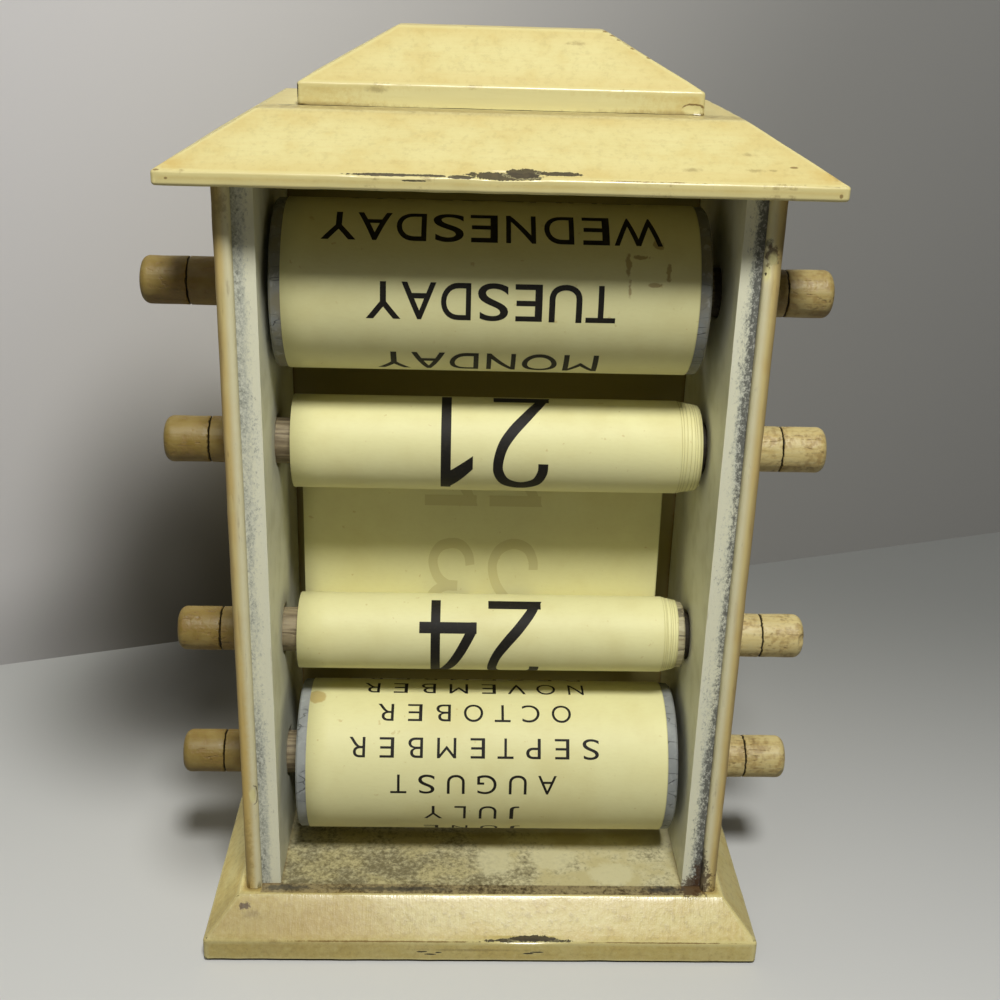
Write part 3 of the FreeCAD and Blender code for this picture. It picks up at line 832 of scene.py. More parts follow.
def knob_paint(name, look, shift, seed, grey, painted_shade):
    """Worn ochre paint on a dowel: fine lengthwise cracks, dark joints, darker paint towards the
    reader's right, painted shade over the whole roller, and bare wood inside with a painted shadow
    beyond its -X end.
    """
    finish = Finish(name)
    edge = finish.measure("edge_mm")
    from_middle = abs(finish.across - shift)
    streak = finish.cloud(0.7, 4, stretch=(0.14, 1, 1), seed=seed, rough=0.6)
    patch = finish.cloud(4.6, 3, seed=seed + 9)
    small = finish.cloud(1.0, 3, seed=seed + 4)
    pit = finish.cloud(0.3, 2, stretch=(0.55, 1, 1), seed=seed + 21)
    crack = finish.cracks(2.6, stretch=(0.16, 1, 1), seed=seed).fall(0.008, 0.03)
    colour = finish.mix((patch * 0.8 + small * 0.2).rise(0.44, 0.66) * 0.6, look.knob,
                        look.knob_ochre)
    colour = finish.mix(streak.rise(0.44, 0.7) * 0.3, colour, screen(214, 206, 160))
    colour = finish.mix(streak.fall(0.34, 0.46) * 0.28, colour, look.knob_worn)
    colour = finish.mix(grey, colour, screen(186, 178, 140))
    # Darker paint towards the knob at the reader's right, and painted shade over the whole roller, most
    # on the day roller under the eave.
    darkening_share = (finish.across - shift).rise(40, 50) * (0.66 + patch * 0.5).least(0.96)
    darkening_share = darkening_share.most(painted_shade * (0.5 + patch))
    colour = finish.mix(darkening_share, colour, look.knob_handled)
    worn = edge.fall(0.2, 1.3) * (small * 0.6 + patch * 0.5).rise(0.5, 0.72)
    colour = finish.mix(worn * 0.5, colour, look.knob_worn)
    speck = pit.rise(0.68, 0.78) * (0.16 + grey)
    split = crack * (patch * 0.7 + small * 0.4).rise(0.54, 0.66)
    colour = finish.mix((speck + split * 0.4).least(0.6), colour, screen(110, 88, 50))
    joint = abs(from_middle - JOINT_X + (small - 0.5) * 0.9).fall(0.08, 0.3)
    colour = finish.mix(joint * 0.9, colour, look.joint)
    grain = finish.cloud(0.7, 4, stretch=(0.1, 1, 1), seed=seed + 2)
    wood = finish.mix(grain.rise(0.36, 0.66), look.bare, screen(152, 138, 106))
    wood = finish.mix(grain.fall(0.3, 0.42) * 0.7, wood, screen(82, 68, 48))
    # Painted shadow on the bare wood beyond x = -45 mm, in the dark gap beside the rolls' -X ends.
    wood = finish.mix(finish.across.fall(-45.4, -44.6) * 0.85, wood, screen(40, 34, 24))
    bare = from_middle.fall(49.0, 49.6)
    colour = finish.mix(bare, colour, wood)
    height = streak * 0.5 - worn * 0.3 - speck * 0.3 - joint - split * 0.6
    return finish.done(colour, 0.38 + small * 0.2 + bare * 0.2, height, 0.14,
                       specular_ior_level=0.5)


class CALENDAR_OT_knobs(bpy.types.Operator):
    """Replace the axles and knobs by worn, painted dowels"""

    bl_idname = "calendar.knobs"
    bl_label = "Axles and knobs"

    def execute(self, context):
        look = context.scene.calendar_roller
        wear = context.scene.calendar_cabinet
        greys = {"day": 0.05, "date_upper": 0.08, "date_lower": 0.12, "month": 0.12}
        # Painted shade for each roller, most on the day roller, which sits under the eave.
        painted_shades = {"day": 0.5, "date_upper": 0.12, "date_lower": 0.0, "month": 0.12}
        for k, (body, (roller, height, shift)) in enumerate(ROLLERS.items()):
            paint = knob_paint(f"knob_paint_{roller}", look, shift, 5.0 + 13 * k, greys[roller],
                               painted_shades[roller])
            for part, cell in (("axle", 3.0), ("knob_left", 1.4), ("knob_right", 1.4)):
                node = f"{roller}_{part}"
                worn_board(
                    node, f"{roller}_{part}_dowel", body, paint, wear,
                    cell=cell, seed=2.0 + 3 * k, wobble=1.1, dents=KNOB_DENTS.get(node, ()),
                )
        return {"FINISHED"}


KNOB_DENTS = {
    "date_lower_knob_left": (((-72.4, 10.4, 68.6), (1.0, 1.5, 1.3), 0.5),),
    "date_lower_knob_right": (((68.9, 11.0, 64.9), (0.7, 0.8, 0.6), 0.3),),
    "month_knob_left": (((-71.6, 10.6, 32.4), (1.0, 1.2, 1.2), 0.3),),
}


def drum_paint(name, look, tone, seed):
    """Grey paint on a turned drum: chalky patches and cracks that run in from its ends."""
    finish = Finish(name)
    patch = finish.cloud(6, 3, seed=seed)
    small = finish.cloud(1.3, 3, seed=seed + 3)
    dust = finish.cloud(0.35, 2, seed=seed + 6)
    crack = finish.cracks(3.0, stretch=(0.3, 1, 1), seed=seed).fall(0.006, 0.022)
    colour = finish.mix(patch.rise(0.3, 0.7), tone or look.drum_grey, screen(128, 131, 128))
    colour = finish.mix(small.rise(0.55, 0.72) * 0.4, colour, screen(176, 178, 172))
    colour = finish.mix(dust.rise(0.64, 0.76) * 0.3, colour, screen(92, 92, 88))
    split = crack * patch.rise(0.44, 0.6)
    colour = finish.mix(split * 0.7, colour, look.crack)
    return finish.done(colour, 0.55 + small * 0.2, small * 0.3 - split, 0.12)


def paper_finish(name, look, blots=(), seed=0.0, tone=None):
    """Yellowed paper: faint fibres, uneven ageing, a darker rim of dust and painted shade along the cut
    edges, and named stains.
    """
    finish = Finish(name)
    broad = finish.cloud(24, 3, seed=seed)
    patch = finish.cloud(6, 3, seed=seed + 5)
    fibre = finish.cloud(0.5, 3, stretch=(0.35, 1, 1), seed=seed + 8)
    ragged = finish.cloud(1.3, 3, seed=seed + 2)
    fox = finish.cloud(1.6, 2, seed=seed + 12).rise(0.7, 0.78)
    colour = finish.mix((broad * 0.7 + patch * 0.5).rise(0.5, 0.85) * 0.5, tone or look.paper,
                        look.foxing)
    colour = finish.mix(fibre.rise(0.45, 0.75) * 0.14, colour, look.foxing)
    colour = finish.mix(fox * 0.35, colour, look.stain)
    # Darker rim along the paper's cut edges: dust, with painted shade.
    rim = finish.measure("rim")
    colour = finish.mix(rim * (0.16 + patch * 0.3), colour, screen(150, 136, 84))
    for kind, centre, reach in blots:
        if kind == "ring":
            core = finish.blot(centre, reach, ragged, 0.18, 0.25)
            colour = finish.mix(core * 0.62, colour, look.stain)
        else:
            scratch = finish.blot(centre, reach, ragged, 0.95, 0.35)
            colour = finish.mix(scratch * 0.6, colour, screen(140, 104, 44))
    return finish.done(colour, 0.55, fibre * 0.4 + patch * 0.2, 0.05, specular_ior_level=0.35)


def ink_finish(name, look, tone=None):
    """Printed ink that is a little worn and uneven."""
    finish = Finish(name)
    small = finish.cloud(0.6, 3, seed=3)
    colour = finish.mix(small.rise(0.45, 0.8) * 0.35, tone or look.ink, screen(58, 52, 36))
    return finish.done(colour, 0.56 + small * 0.2, small, 0.02, specular_ior_level=0.3)


def turn_point(x, height, radius, angle):
    """A point on a roller in metres: angle runs from the back, up and over, to the windows."""
    lift = math.radians(angle)
    return Vector((x, AXLE_Y + radius * math.cos(lift), height + radius * math.sin(lift))) * MM


RIM_SHARE = 0.0035


def sheet_piece(name, body, rows, columns, place, thickness, material, stands_for=()):
    """A sheet of paper: place(row share, column share) gives its printed side.

    Its first row of faces is a narrow rim, which the attribute rim marks for its paper's colour.
    """
    sheet = bmesh.new()
    shares = [0.0, RIM_SHARE] + [r / rows for r in range(1, rows + 1)]
    grid = []
    for share in shares:
        grid.append([sheet.verts.new(place(share, c / columns)) for c in range(columns + 1)])
    for near, far in zip(grid, grid[1:]):
        for c in range(columns):
            sheet.faces.new((near[c], far[c], far[c + 1], near[c + 1]))
    sheet.normal_update()
    rim = [1.0] * (columns + 1) + [0.0] * (columns + 1) * (len(shares) - 1)
    piece = add_piece(name, sheet, body, material, stands_for, sharp=60)
    layer = piece.data.attributes.new("rim", "FLOAT", "POINT")
    layer.data.foreach_set("value", rim)
    thick = piece.modifiers.new("paper_thickness", "SOLIDIFY")
    thick.thickness = thickness
    thick.offset = -1
    return piece


LETTER_WIDTHS = {
    "A": 67, "B": 67, "C": 72, "D": 72, "E": 67, "F": 61, "G": 78, "H": 72, "I": 28, "J": 50,
    "L": 56, "M": 83, "N": 72, "O": 78, "P": 67, "R": 72, "S": 67, "T": 61, "U": 72, "V": 67,
    "W": 94, "Y": 67,
}
CAP_SHARE = 0.716
STRAIGHT_SIDE_ROOM = 0.075
SIDE_ROOM = {**dict.fromkeys("AVWY", 0.005), "T": 0.02, **dict.fromkeys("COGSU", 0.045)}


def letter_mesh(letter, weight):
    """One capital of Blender's own typeface, a unit high, with its corner at the origin.

    Blender fills the notch of an M whose outline is made bolder, so an M keeps its own outline.
    """
    curve = bpy.data.curves.new("letter", "FONT")
    curve.body = letter
    curve.offset = min(weight, 0.0) if letter == "M" else weight
    curve.resolution_u = 8
    text = bpy.data.objects.new("letter", curve)
    bpy.context.scene.collection.objects.link(text)
    bpy.context.view_layer.update()
    ready = text.evaluated_get(bpy.context.evaluated_depsgraph_get())
    mesh = bpy.data.meshes.new_from_object(ready)
    bpy.data.objects.remove(text)
    bpy.data.curves.remove(curve)
    xs = [v.co.x for v in mesh.vertices]
    ys = [v.co.y for v in mesh.vertices]
    low, size = (min(xs), min(ys)), (max(xs) - min(xs), max(ys) - min(ys))
    for v in mesh.vertices:
        v.co.x = (v.co.x - low[0]) / size[0]
        v.co.y = (v.co.y - low[1]) / size[1]
        v.co.z = 0
    return mesh


def word_print(word, cap, spacing, weight):
    """A flat word in millimetres, centred on x = 0 with its letters' feet on y = 0."""
    em = cap / CAP_SHARE
    flat = bmesh.new()
    x = 0.0
    for letter in word:
        advance = LETTER_WIDTHS[letter] / 100 * em
        side = SIDE_ROOM.get(letter, STRAIGHT_SIDE_ROOM)
        mesh = letter_mesh(letter, weight)
        width = advance - 2 * side * em
        tall = cap * (1.02 if letter in "COGSJU" else 1.0)
        move = Matrix.Translation((x + side * em, (cap - tall) / 2, 0))
        mesh.transform(move @ Matrix.Diagonal((width, tall, 1, 1)))
        flat.from_mesh(mesh)
        bpy.data.meshes.remove(mesh)
        x += advance + spacing
    bmesh.ops.translate(flat, verts=flat.verts, vec=(-(x - spacing) / 2, 0, 0))
    return flat


def slice_flat(flat, axis, low, high, step):
    """Cuts a flat print into strips, so that it can bend round a roller."""
    normal = Vector((1, 0, 0)) if axis == 0 else Vector((0, 1, 0))
    for k in range(1, int((high - low) / step) + 1):
        everything = [*flat.verts, *flat.edges, *flat.faces]
        place = normal * (low + k * step)
        bmesh.ops.bisect_plane(flat, geom=everything, plane_co=place, plane_no=normal, dist=1e-4)


def keep_between(flat, axis, low, high):
    """Cuts away what is outside low and high along an axis."""
    normal = Vector((1, 0, 0)) if axis == 0 else Vector((0, 1, 0))
    for place, outside in ((low, -normal), (high, normal)):
        everything = [*flat.verts, *flat.edges, *flat.faces]
        bmesh.ops.bisect_plane(
            flat, geom=everything, plane_co=normal * place, plane_no=outside, dist=1e-5,
            clear_outer=True,
        )


def add_print(target, flat, place):
    """Lays a flat print on a surface: place(x, y, z) gives each point."""
    bmesh.ops.triangulate(flat, faces=flat.faces)
    flat.normal_update()
    made = {}
    for vertex in flat.verts:
        made[vertex] = target.verts.new(place(vertex.co.x, vertex.co.y, vertex.co.z))
    for face in flat.faces:
        corners = [made[v] for v in face.verts]
        if face.normal.z < 0:
            corners.reverse()
        target.faces.new(corners)


DAYS = {
    "TUESDAY": 2.6, "WEDNESDAY": 54.0, "THURSDAY": 105.5, "FRIDAY": 157.0, "SATURDAY": 208.3,
    "SUNDAY": -100.0, "MONDAY": -48.8,
}
MONTHS = {
    "NOVEMBER": 91.3, "OCTOBER": 63.8, "SEPTEMBER": 36.0, "AUGUST": 8.5, "JULY": -18.3,
    "JUNE": -47.2, "MAY": -73.3, "APRIL": -100.8, "MARCH": -128.3, "FEBRUARY": -155.8,
    "JANUARY": 176.7, "DECEMBER": 118.8,
}
DAY_STAINS = (
    ("scratch", (-25.6, 21.6, 157.0), (0.7, 1.6, 3.2)),
    ("scratch", (-25.9, 23.4, 152.4), (0.5, 0.8, 2.2)),
    ("scratch", (-28.6, 21.2, 158.0), (2.6, 1.2, 0.5)),
    ("scratch", (-31.4, 19.4, 160.6), (1.2, 1.4, 1.6)),
    ("scratch", (-33.6, 22.2, 155.6), (0.6, 1.0, 2.4)),
    ("scratch", (-31.0, 23.2, 153.0), (1.8, 0.8, 0.5)),
)
MONTH_STAINS = (("ring", (39.1, 9.9, 51.8), (2.35, 2.5, 1.4)),)


LABEL_RADIUS = 17.5
LABEL_DEGREES = 372.0


def drum_label(name, node, body, height, low, high, seam, names, cap, spacing, weight, shift,
               paper, ink, look):
    """A paper label glued round a drum with its ends overlapped, and the names printed on it."""
    radius = LABEL_RADIUS

    def sheet_radius(turned):
        under = max(0.0, 1 - turned / 26)
        return radius - 0.01 - 0.085 * under * under

    def place(across_share, round_share):
        turned = LABEL_DEGREES * round_share
        x = low + (high - low) * across_share
        wave = 0.012 * noise.noise(Vector((x * 0.08, turned * 0.03, height)))
        return turn_point(x, height, sheet_radius(turned) + min(0, wave), seam - turned)

    sheet_piece(name + "_paper", body, 16, 186, place, look.label_sheet, paper, [node])
    printed = bmesh.new()
    for word, centre in names.items():
        flat = word_print(word, cap, spacing, weight)
        slice_flat(flat, 1, 0, cap, 0.75)

        def lay(x, y, z, centre=centre):
            angle = centre - math.degrees((y - cap / 2) / radius)
            return turn_point(x + shift, height, radius + 0.012, angle)

        add_print(printed, flat, lay)
        flat.free()
    printed.normal_update()
    add_piece(name + "_names", printed, body, ink, sharp=60)


class CALENDAR_OT_drums(bpy.types.Operator):
    """Finish the day drum and the month drum and print their labels"""

    bl_idname = "calendar.drums"
    bl_label = "Drums and labels"

    def execute(self, context):
        look = context.scene.calendar_paper
        wood = context.scene.calendar_roller
        print_look = context.scene.calendar_print
        # The day drum's grey is darker and warmer than the month drum's: painted shade for its place
        # under the eave.
        paint_node("day_drum", drum_paint("drum_paint_day", wood, screen(122, 116, 92), 3.0))
        paint_node("month_drum", drum_paint("drum_paint_month", wood, None, 17.0))
        ink = ink_finish("label_ink", look)
        drum_label(
            "day_label", "day_label", "day_roller", DAY_Z, -40.0, 42.6, -126.0, DAYS,
            print_look.day_cap / MM, 0.1, 0.006, 1.2,
            paper_finish("day_paper", look, DAY_STAINS, 3.0), ink, look,
        )
        drum_label(
            "month_label", "month_label", "month_roller", MONTH_Z, -42.0, 40.6, 148.0, MONTHS,
            print_look.month_cap / MM, print_look.month_spacing / MM, -0.004, 2.5,
            paper_finish("month_paper", look, MONTH_STAINS, 9.0), ink, look,
        )
        return {"FINISHED"}


def smooth_line(points, steps=7):
    """A smooth line through a brush stroke's points."""
    ends = [points[0], *points, points[-1]]
    line = []
    for k in range(1, len(ends) - 2):
        a, b, c, d = (Vector(p) for p in ends[k - 1:k + 3])
        for s in range(steps):
            t = s / steps
            line.append(0.5 * (2 * b + (c - a) * t + (2 * a - 5 * b + 4 * c - d) * t ** 2
                               + (3 * b - a - 3 * c + d) * t ** 3))
    line.append(Vector(points[-1]))
    return line


def add_stroke(flat, points, stem, bar, lift=0.0, smooth=True, closed=False):
    """A flat stroke along a line: stem wide where it is upright and bar high where it is level."""
    line = smooth_line(points) if smooth else [Vector(p) for p in points]
    squash = stem / bar
    count = len(line)
    sides = []
    for k in range(count):
        back = line[k - 1] if closed or k else line[0]
        ahead = line[(k + 1) % count] if closed or k < count - 1 else line[-1]
        run = Vector(((ahead - back).x, (ahead - back).y * squash)).normalized()
        out = Vector((-run.y * stem / 2, run.x * bar / 2))
        here = line[k]
        sides.append([flat.verts.new((here.x + s * out.x, here.y + s * out.y, lift))
                      for s in (1, -1)])
    pairs = list(zip(sides, sides[1:] + (sides[:1] if closed else [])))
    for (a, b), (c, d) in pairs:
        flat.faces.new((a, b, d, c))


def figure_print(figure, stem, bar, tall):
    """One figure of a date, its foot at y = 0 and its left edge at x = 0, in millimetres."""
    flat = bmesh.new()
    wide = 12.2
    if figure == "0":
        round_line = [(6.1 + 5.0 * math.cos(a), 12.9 + 11.6 * math.sin(a))
                      for a in (math.tau * k / 48 for k in range(48))]
        add_stroke(flat, round_line, stem, bar, smooth=False, closed=True)
    elif figure == "1":
        wide = 6.8
        add_stroke(flat, [(5.74, 0), (5.74, tall)], stem, bar, smooth=False)
        corners = ((0, 16.4), (4.7, 19.9), (5.2, tall), (0, 19.5))
        flat.faces.new([flat.verts.new((x, y, 0.004)) for x, y in corners])
    elif figure == "2":
        add_stroke(flat, [(1.55, 18.0), (1.7, 20.4), (3.1, 23.3), (6.2, 24.55), (9.4, 23.2),
                          (11.0, 20.2), (11.05, 17.3), (10.1, 14.0), (8.1, 10.9), (5.0, 7.1),
                          (2.4, 3.2), (0.9, -0.8)], stem, bar)
        add_stroke(flat, [(0.3, bar / 2), (12.2, bar / 2)], stem, bar, 0.004, smooth=False)
    elif figure == "3":
        add_stroke(flat, [(1.5, 19.0), (2.0, 21.8), (3.7, 24.0), (6.1, 24.5), (8.8, 23.4),
                          (10.2, 20.2), (9.2, 16.2), (6.9, 14.0), (4.4, 13.7)], stem, bar)
        add_stroke(flat, [(4.4, 13.7), (7.4, 13.6), (10.3, 11.4), (11.1, 7.6), (9.9, 3.4),
                          (6.2, 1.3), (2.9, 2.6), (1.2, 6.8)], stem, bar, 0.004)
    elif figure == "4":
        wide = 12.9
        add_stroke(flat, [(0.1, 6.1), (10.3, 26.8)], stem, bar, 0.004, smooth=False)
        keep_between(flat, 1, 6.1, tall)
        keep_between(flat, 0, 0, 9.9)
        add_stroke(flat, [(0, 7.45), (12.9, 7.45)], stem, bar, 0.008, smooth=False)
        add_stroke(flat, [(9.26, 0), (9.26, tall)], stem, bar, 0.0, smooth=False)
    elif figure == "5":
        add_stroke(flat, [(2.0, 24.5), (11.2, 24.5)], stem, bar, 0.004, smooth=False)
        add_stroke(flat, [(3.0, tall), (1.7, 12.4)], stem, bar, 0.008, smooth=False)
        add_stroke(flat, [(1.6, 13.4), (4.0, 15.8), (6.8, 16.2), (9.8, 14.2), (11.1, 8.9),
                          (9.8, 3.6), (6.2, 1.3), (2.7, 2.7), (1.1, 6.6)], stem, bar)
    else:
        raise ValueError(f"no figure {figure!r} is drawn here")
    keep_between(flat, 0, 0, wide)
    keep_between(flat, 1, 0, tall)
    return flat


UPPER_RADIUS = 10.27
LOWER_RADIUS = 8.87
CORE_RADIUS = 7.6
SCROLL_LOW = -40.0
SCROLL_HIGH = 43.0
BAND_LOW = -40.1
BAND_HIGH = 42.6
TELESCOPED_TURNS = 7
FIRST_DATE_FOOT = 128.6
DATES = ((20, 1), (21, 0), (22, -1), (23, -2), (24, -3), (25, -4))
BAND_SLOPE = 1.4 / 45.96


def roll_dip(x, angle, seed):
    """How far hand winding leaves a roll short of round, in millimetres."""
    turn = math.radians(angle)
    where = Vector((x * 0.035, 1.3 * math.cos(turn) + seed, 1.3 * math.sin(turn)))
    return 0.16 * (0.5 + 0.5 * noise.noise(where))


def roll_point(x, height, radius, turned, sense, lift, seed, look):
    """A point on the wound paper after so many degrees from where it leaves the roll."""
    angle = 180 + sense * turned
    here = radius - look.turn_gap / MM * turned / 360 - roll_dip(x, angle, seed) + lift
    return turn_point(x, height, here, angle)


def band_point(x, z, lift):
    """A point on the straight stretch: lift is from its middle towards the windows."""
    wave = 0.05 * noise.noise(Vector((x * 0.04, z * 0.05, 5)))
    return Vector((x, -4.32 + (113.18 - z) * BAND_SLOPE - lift + wave, z)) * MM


def wound_paper(name, node, body, height, radius, sense, seed, slid_out, paper, look):
    """The scroll's turns on one core, the inner ones sliding out to one side."""
    whole = (radius - CORE_RADIUS) / (look.turn_gap / MM) * 360 - 40
    columns = round(whole / 6)
    width = SCROLL_HIGH - SCROLL_LOW

    def place(across_share, round_share):
        turned = whole * round_share
        slid = min(1, turned / 360 / TELESCOPED_TURNS)
        slide = slid_out / MM * slid
        jitter = 0.5 * noise.noise(Vector((turned / 360 * 1.7, seed, 2)))
        x = SCROLL_LOW + width * across_share - slide + jitter * min(1, turned / 200)
        x = min(max(x, SCROLL_LOW - slid_out / MM - 0.1), SCROLL_HIGH)
        return roll_point(x, height, radius, turned, sense, 0, seed, look)

    rows = 12
    piece = sheet_piece(name, body, rows, columns, place, look.sheet, paper, [node])
    if sense > 0:
        piece.data.flip_normals()
    return piece


def date_prints(print_look):
    """Each date near the window as a flat print and the height of its foot along the scroll."""
    tall = print_look.date_height / MM
    for date, steps in DATES:
        flat = bmesh.new()
        for k, figure in enumerate(str(date)):
            one = figure_print(figure, print_look.stem / MM, print_look.bar / MM, tall)
            left = -12.4 if k == 0 else {"1": 4.1, "4": 2.4}.get(figure, 2.5)
            bmesh.ops.translate(one, verts=one.verts, vec=(left, 0, 0))
            mesh = bpy.data.meshes.new("figure")
            one.to_mesh(mesh)
            one.free()
            flat.from_mesh(mesh)
            bpy.data.meshes.remove(mesh)
        foot = FIRST_DATE_FOOT + steps * print_look.date_pitch / MM
        bmesh.ops.translate(flat, verts=flat.verts, vec=(0, foot, 0))
        slice_flat(flat, 1, foot, foot + tall, 0.7)
        slice_flat(flat, 0, -12.4, 15.4, 2.0)
        yield flat


class CALENDAR_OT_scroll(bpy.types.Operator):
    """Wind the paper scroll on its two cores and print the dates on it"""

    bl_idname = "calendar.scroll"
    bl_label = "Date scroll"

    def execute(self, context):
        look = context.scene.calendar_paper
        print_look = context.scene.calendar_print
        wood = context.scene.calendar_roller
        paper = paper_finish("scroll_paper", look, (), 21.0)
        ink = ink_finish("date_ink", look)
        core = bare_wood("core_wood", wood, (0.12, 1, 1), screen(166, 156, 122),
                         screen(206, 198, 160))
        paint_node("date_upper_core", core)
        paint_node("date_lower_core", core)
        wound_paper("date_upper_wound_paper", "date_upper_scroll", "date_upper_roller", UPPER_Z,
                    UPPER_RADIUS, -1, 1.0, look.telescope, paper, look)
        wound_paper("date_lower_wound_paper", "date_lower_scroll", "date_lower_roller", LOWER_Z,
                    LOWER_RADIUS, 1, 4.0, look.telescope * 0.72, paper, look)

        def band_place(across_share, down_share):
            x = BAND_LOW + (BAND_HIGH - BAND_LOW) * across_share
            return band_point(x, 113.15 - 45.9 * down_share, 0.055)

        band = sheet_piece("date_band_paper", "cabinet", 20, 12, band_place, look.sheet, paper,
                           ["date_scroll_band"])
        band.data.flip_normals()

        def on_upper(x, y, z):
            turned = math.degrees((y - UPPER_Z) / UPPER_RADIUS)
            return roll_point(x, UPPER_Z, UPPER_RADIUS, turned, -1, 0.02 + z, 1.0, look)

        def on_lower(x, y, z):
            turned = math.degrees((LOWER_Z - y) / LOWER_RADIUS)
            return roll_point(x, LOWER_Z, LOWER_RADIUS, turned, 1, 0.02 + z, 4.0, look)

        def on_band(x, y, z):
            return band_point(x, y, 0.075 + z)

        def behind_band(x, y, z):
            return band_point(x, y, -0.075 - z)

        ghost_paper = paper_finish("show_through_paper", look, (), 21.0, screen(214, 206, 146))
        targets = (
            ("date_upper_figures", "date_upper_roller", UPPER_Z, UPPER_Z + 63.0, on_upper, ink),
            ("date_lower_figures", "date_lower_roller", LOWER_Z - 54.0, LOWER_Z, on_lower, ink),
            ("date_band_figures", "cabinet", LOWER_Z, UPPER_Z - 0.4, on_band, ink),
            ("date_show_through", "cabinet", LOWER_Z, UPPER_Z - 0.4, behind_band, ghost_paper),
        )
        for name, body, low, high, place, material in targets:
            printed = bmesh.new()
            for flat in date_prints(print_look):
                keep_between(flat, 1, low, high)
                add_print(printed, flat, place)
                flat.free()
            if place is behind_band:
                bmesh.ops.reverse_faces(printed, faces=printed.faces)
            add_piece(name, printed, body, material, sharp=60)
        return {"FINISHED"}


def stage_finish(name, look, near, far, start, end, shades):
    """A matt surface that darkens from start to end as painted falloff of light, with painted soft
    shadows.

    The camera sees the surface's own colours, and the object sees the bounce colour.
    """
    finish = Finish(name)
    along = Vector(end) - Vector(start)
    way = finish.vector("SUBTRACT", finish.place, start)
    reach = finish.vector("DOT_PRODUCT", way, along / along.length_squared, output="Value")
    colour = finish.mix(reach.rise(0, 1), tuple(near), tuple(far))
    for centre, size, share in shades:
        away = finish.vector("DIVIDE", finish.vector("SUBTRACT", finish.place, centre), size)
        inside = finish.vector("LENGTH", away, output="Value").fall(0.15, 1)
        colour = finish.mix(inside * share, colour, look.shade)
    seen = finish.node("ShaderNodeLightPath", {}, {}, "Is Camera Ray")
    return finish, finish.mix(seen, tuple(look.bounce), colour)


def stage_sheet(name, corners, material):
    """A flat floor or backdrop from its four corners in metres."""
    mesh = bpy.data.meshes.new(name)
    mesh.from_pydata(corners, [], [(0, 1, 2, 3)])
    mesh.materials.append(material)
    made = bpy.data.objects.new(name, mesh)
    bpy.context.scene.collection.objects.link(made)
    return made


def add_lamp(name, place, aim, size, power):
    """A soft round lamp that shines at a point."""
    light = bpy.data.lights.new(name, "AREA")
    light.shape = "DISK"
    light.size = size
    light.energy = power
    lamp = bpy.data.objects.new(name, light)
    lamp.location = place
    lamp.rotation_euler = (Vector(aim) - Vector(place)).to_track_quat("-Z", "Y").to_euler()
    bpy.context.scene.collection.objects.link(lamp)
    return lamp


# Where the backdrop meets the floor at the picture's two sides, in metres.
BACKDROP_LEFT = (0.152, -0.096, 0)
BACKDROP_RIGHT = (-0.218, -0.219, 0)
BACKDROP_MARGIN = 0.75
BACKDROP_HEIGHT = 1.6
# The camera's place in metres, and its pitch, yaw and roll in degrees.
CAMERA_PLACE = (0.00739, 0.27792, 0.20869)
CAMERA_TURN = (21.73, 2.03, -1.72)


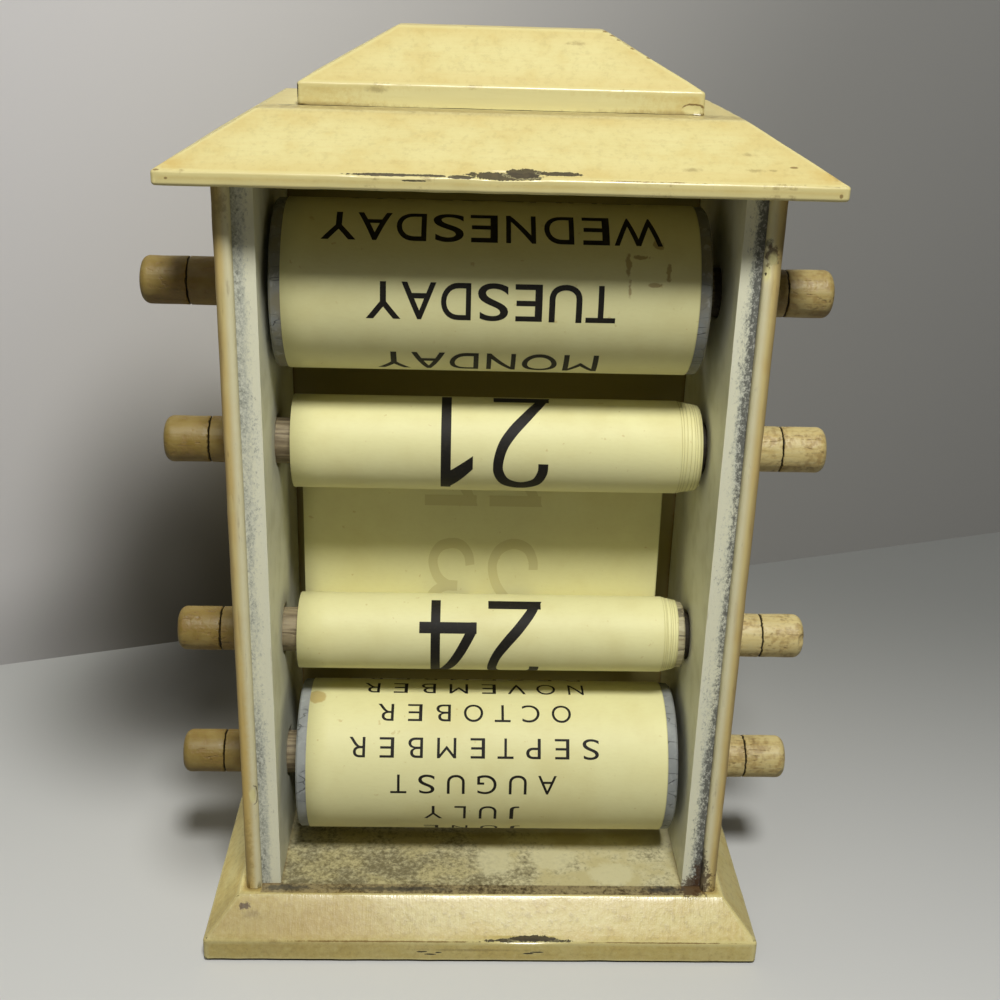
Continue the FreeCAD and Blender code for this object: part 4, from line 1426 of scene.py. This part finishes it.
class CALENDAR_OT_stage(bpy.types.Operator):
    """Set up the floor, the backdrop, the lamps and the camera"""

    bl_idname = "calendar.stage"
    bl_label = "Stage"

    def execute(self, context):
        scene = context.scene
        look = scene.calendar_stage
        # The floor darkens towards the back as painted falloff of light, and its shades are painted
        # shadows of the cabinet.
        finish, colour = stage_finish(
            "pale_floor", look, look.floor, look.floor_far, (0, 90, 0), (-90, -200, 0),
            (((92, -82, 0), (62, 74, 10), 0.8), ((66, -12, 0), (26, 34, 10), 0.45)),
        )
        floor = finish.done(colour, 0.6)
        ground = stage_sheet("floor", [(-1, -1, 0), (1, -1, 0), (1, 1, 0), (-1, 1, 0)], floor)
        # The backdrop darkens towards its far side as painted falloff of light, and its shades are
        # painted shadows of the cabinet.
        finish, colour = stage_finish(
            "pale_backdrop", look, look.wall, look.wall_far, (135, -100, 190), (-60, -160, 60),
            (((95, -112, 22), (58, 58, 92), 0.92), ((120, -105, 0), (60, 60, 40), 0.5)),
        )
        wall = finish.done(colour, 0.7)
        self.hide_from_behind(finish)
        left = Vector(BACKDROP_LEFT)
        right = Vector(BACKDROP_RIGHT)
        along = (right - left).normalized()
        start = left - along * BACKDROP_MARGIN
        end = right + along * BACKDROP_MARGIN
        up = Vector((0, 0, BACKDROP_HEIGHT))
        back = stage_sheet("backdrop", [start, end, end + up, start + up], wall)

        world = bpy.data.worlds.new("room")
        scene.world = world
        world.use_nodes = True
        tree = world.node_tree
        tree.nodes.clear()
        rays = tree.nodes.new("ShaderNodeLightPath")
        seen = tree.nodes.new("ShaderNodeBackground")
        seen.inputs["Color"].default_value = (*screen(186, 185, 181), 1)
        lit = tree.nodes.new("ShaderNodeBackground")
        lit.inputs["Color"].default_value = (1, 1, 1, 1)
        lit.inputs["Strength"].default_value = look.room
        choose = tree.nodes.new("ShaderNodeMixShader")
        out = tree.nodes.new("ShaderNodeOutputWorld")
        tree.links.new(rays.outputs["Is Camera Ray"], choose.inputs[0])
        tree.links.new(lit.outputs[0], choose.inputs[1])
        tree.links.new(seen.outputs[0], choose.inputs[2])
        tree.links.new(choose.outputs[0], out.inputs["Surface"])

        middle = (0, 0.01, 0.1)
        add_lamp("key_lamp", (-0.064, 0.42, 0.727), middle, 0.15, look.key_power)
        add_lamp("fill_lamp", (0.5, 0.7, 1.1), middle, 0.7, look.fill_power)
        lamp = add_lamp("front_lamp", (0.3, -1.0, 0.45), middle, 0.7, look.back_power)
        lamp.visible_glossy = False
        self.light_only_calendar(lamp, (ground, back))
        self.add_camera(look)
        scene.view_settings.view_transform = "Standard"
        return {"FINISHED"}

    def light_only_calendar(self, lamp, stage):
        """Lets a lamp shine through the backdrop and leaves the floor's shadows alone."""
        lit = bpy.data.collections.new("calendar_lit_in_front")
        for piece in bpy.context.scene.objects:
            if piece.type == "MESH" and piece not in stage:
                lit.objects.link(piece)
        lamp.light_linking.receiver_collection = lit
        lamp.light_linking.blocker_collection = lit

    def hide_from_behind(self, finish):
        """Lets the backdrop be looked through from its far side."""
        tree = finish.tree
        clear = tree.nodes.new("ShaderNodeBsdfTransparent")
        mix = tree.nodes.new("ShaderNodeMixShader")
        facing = tree.nodes.new("ShaderNodeNewGeometry")
        out = tree.nodes["Material Output"]
        tree.links.new(facing.outputs["Backfacing"], mix.inputs[0])
        tree.links.new(finish.shader.outputs[0], mix.inputs[1])
        tree.links.new(clear.outputs[0], mix.inputs[2])
        tree.links.new(mix.outputs[0], out.inputs["Surface"])

    def add_camera(self, look):
        """Puts the camera where the photograph was taken from."""
        pitch, yaw, roll = (math.radians(v) for v in CAMERA_TURN)
        ahead = Vector((-math.sin(yaw) * math.cos(pitch), -math.cos(yaw) * math.cos(pitch),
                        -math.sin(pitch)))
        level = Vector((-math.cos(yaw), math.sin(yaw), 0))
        down = ahead.cross(level)
        right = math.cos(roll) * level + math.sin(roll) * down
        below = -math.sin(roll) * level + math.cos(roll) * down
        camera_data = bpy.data.cameras.new("camera")
        camera_data.lens = look.lens
        camera_data.sensor_width = 36
        camera_data.clip_start = 0.01
        camera = bpy.data.objects.new("camera", camera_data)
        turn = Matrix((right, -below, -ahead)).transposed().to_4x4()
        camera.matrix_world = Matrix.Translation(CAMERA_PLACE) @ turn
        bpy.context.scene.collection.objects.link(camera)
        bpy.context.scene.camera = camera


class CALENDAR_PT_panel(bpy.types.Panel):
    """Steps that dress the calendar"""

    bl_label = "Desk calendar"
    bl_space_type = "VIEW_3D"
    bl_region_type = "UI"
    bl_category = "Calendar"

    def draw(self, context):
        for step in STEPS:
            self.layout.operator(step.bl_idname)


STEPS = (
    CALENDAR_OT_cabinet,
    CALENDAR_OT_fixings,
    CALENDAR_OT_knobs,
    CALENDAR_OT_drums,
    CALENDAR_OT_scroll,
    CALENDAR_OT_stage,
)
LOOKS = {
    "calendar_cabinet": CabinetLook,
    "calendar_roller": RollerLook,
    "calendar_paper": PaperLook,
    "calendar_print": PrintLook,
    "calendar_stage": StageLook,
}


def register():
    for look in LOOKS.values():
        bpy.utils.register_class(look)
    for name, look in LOOKS.items():
        setattr(bpy.types.Scene, name, PointerProperty(type=look))
    for step in STEPS:
        bpy.utils.register_class(step)
    bpy.utils.register_class(CALENDAR_PT_panel)


def unregister():
    bpy.utils.unregister_class(CALENDAR_PT_panel)
    for step in reversed(STEPS):
        bpy.utils.unregister_class(step)
    for name, look in LOOKS.items():
        delattr(bpy.types.Scene, name)
        bpy.utils.unregister_class(look)


def main():
    register()
    bpy.ops.calendar.cabinet()
    bpy.ops.calendar.fixings()
    bpy.ops.calendar.knobs()
    bpy.ops.calendar.drums()
    bpy.ops.calendar.scroll()
    bpy.ops.calendar.stage()


if __name__ == "__main__":
    main()
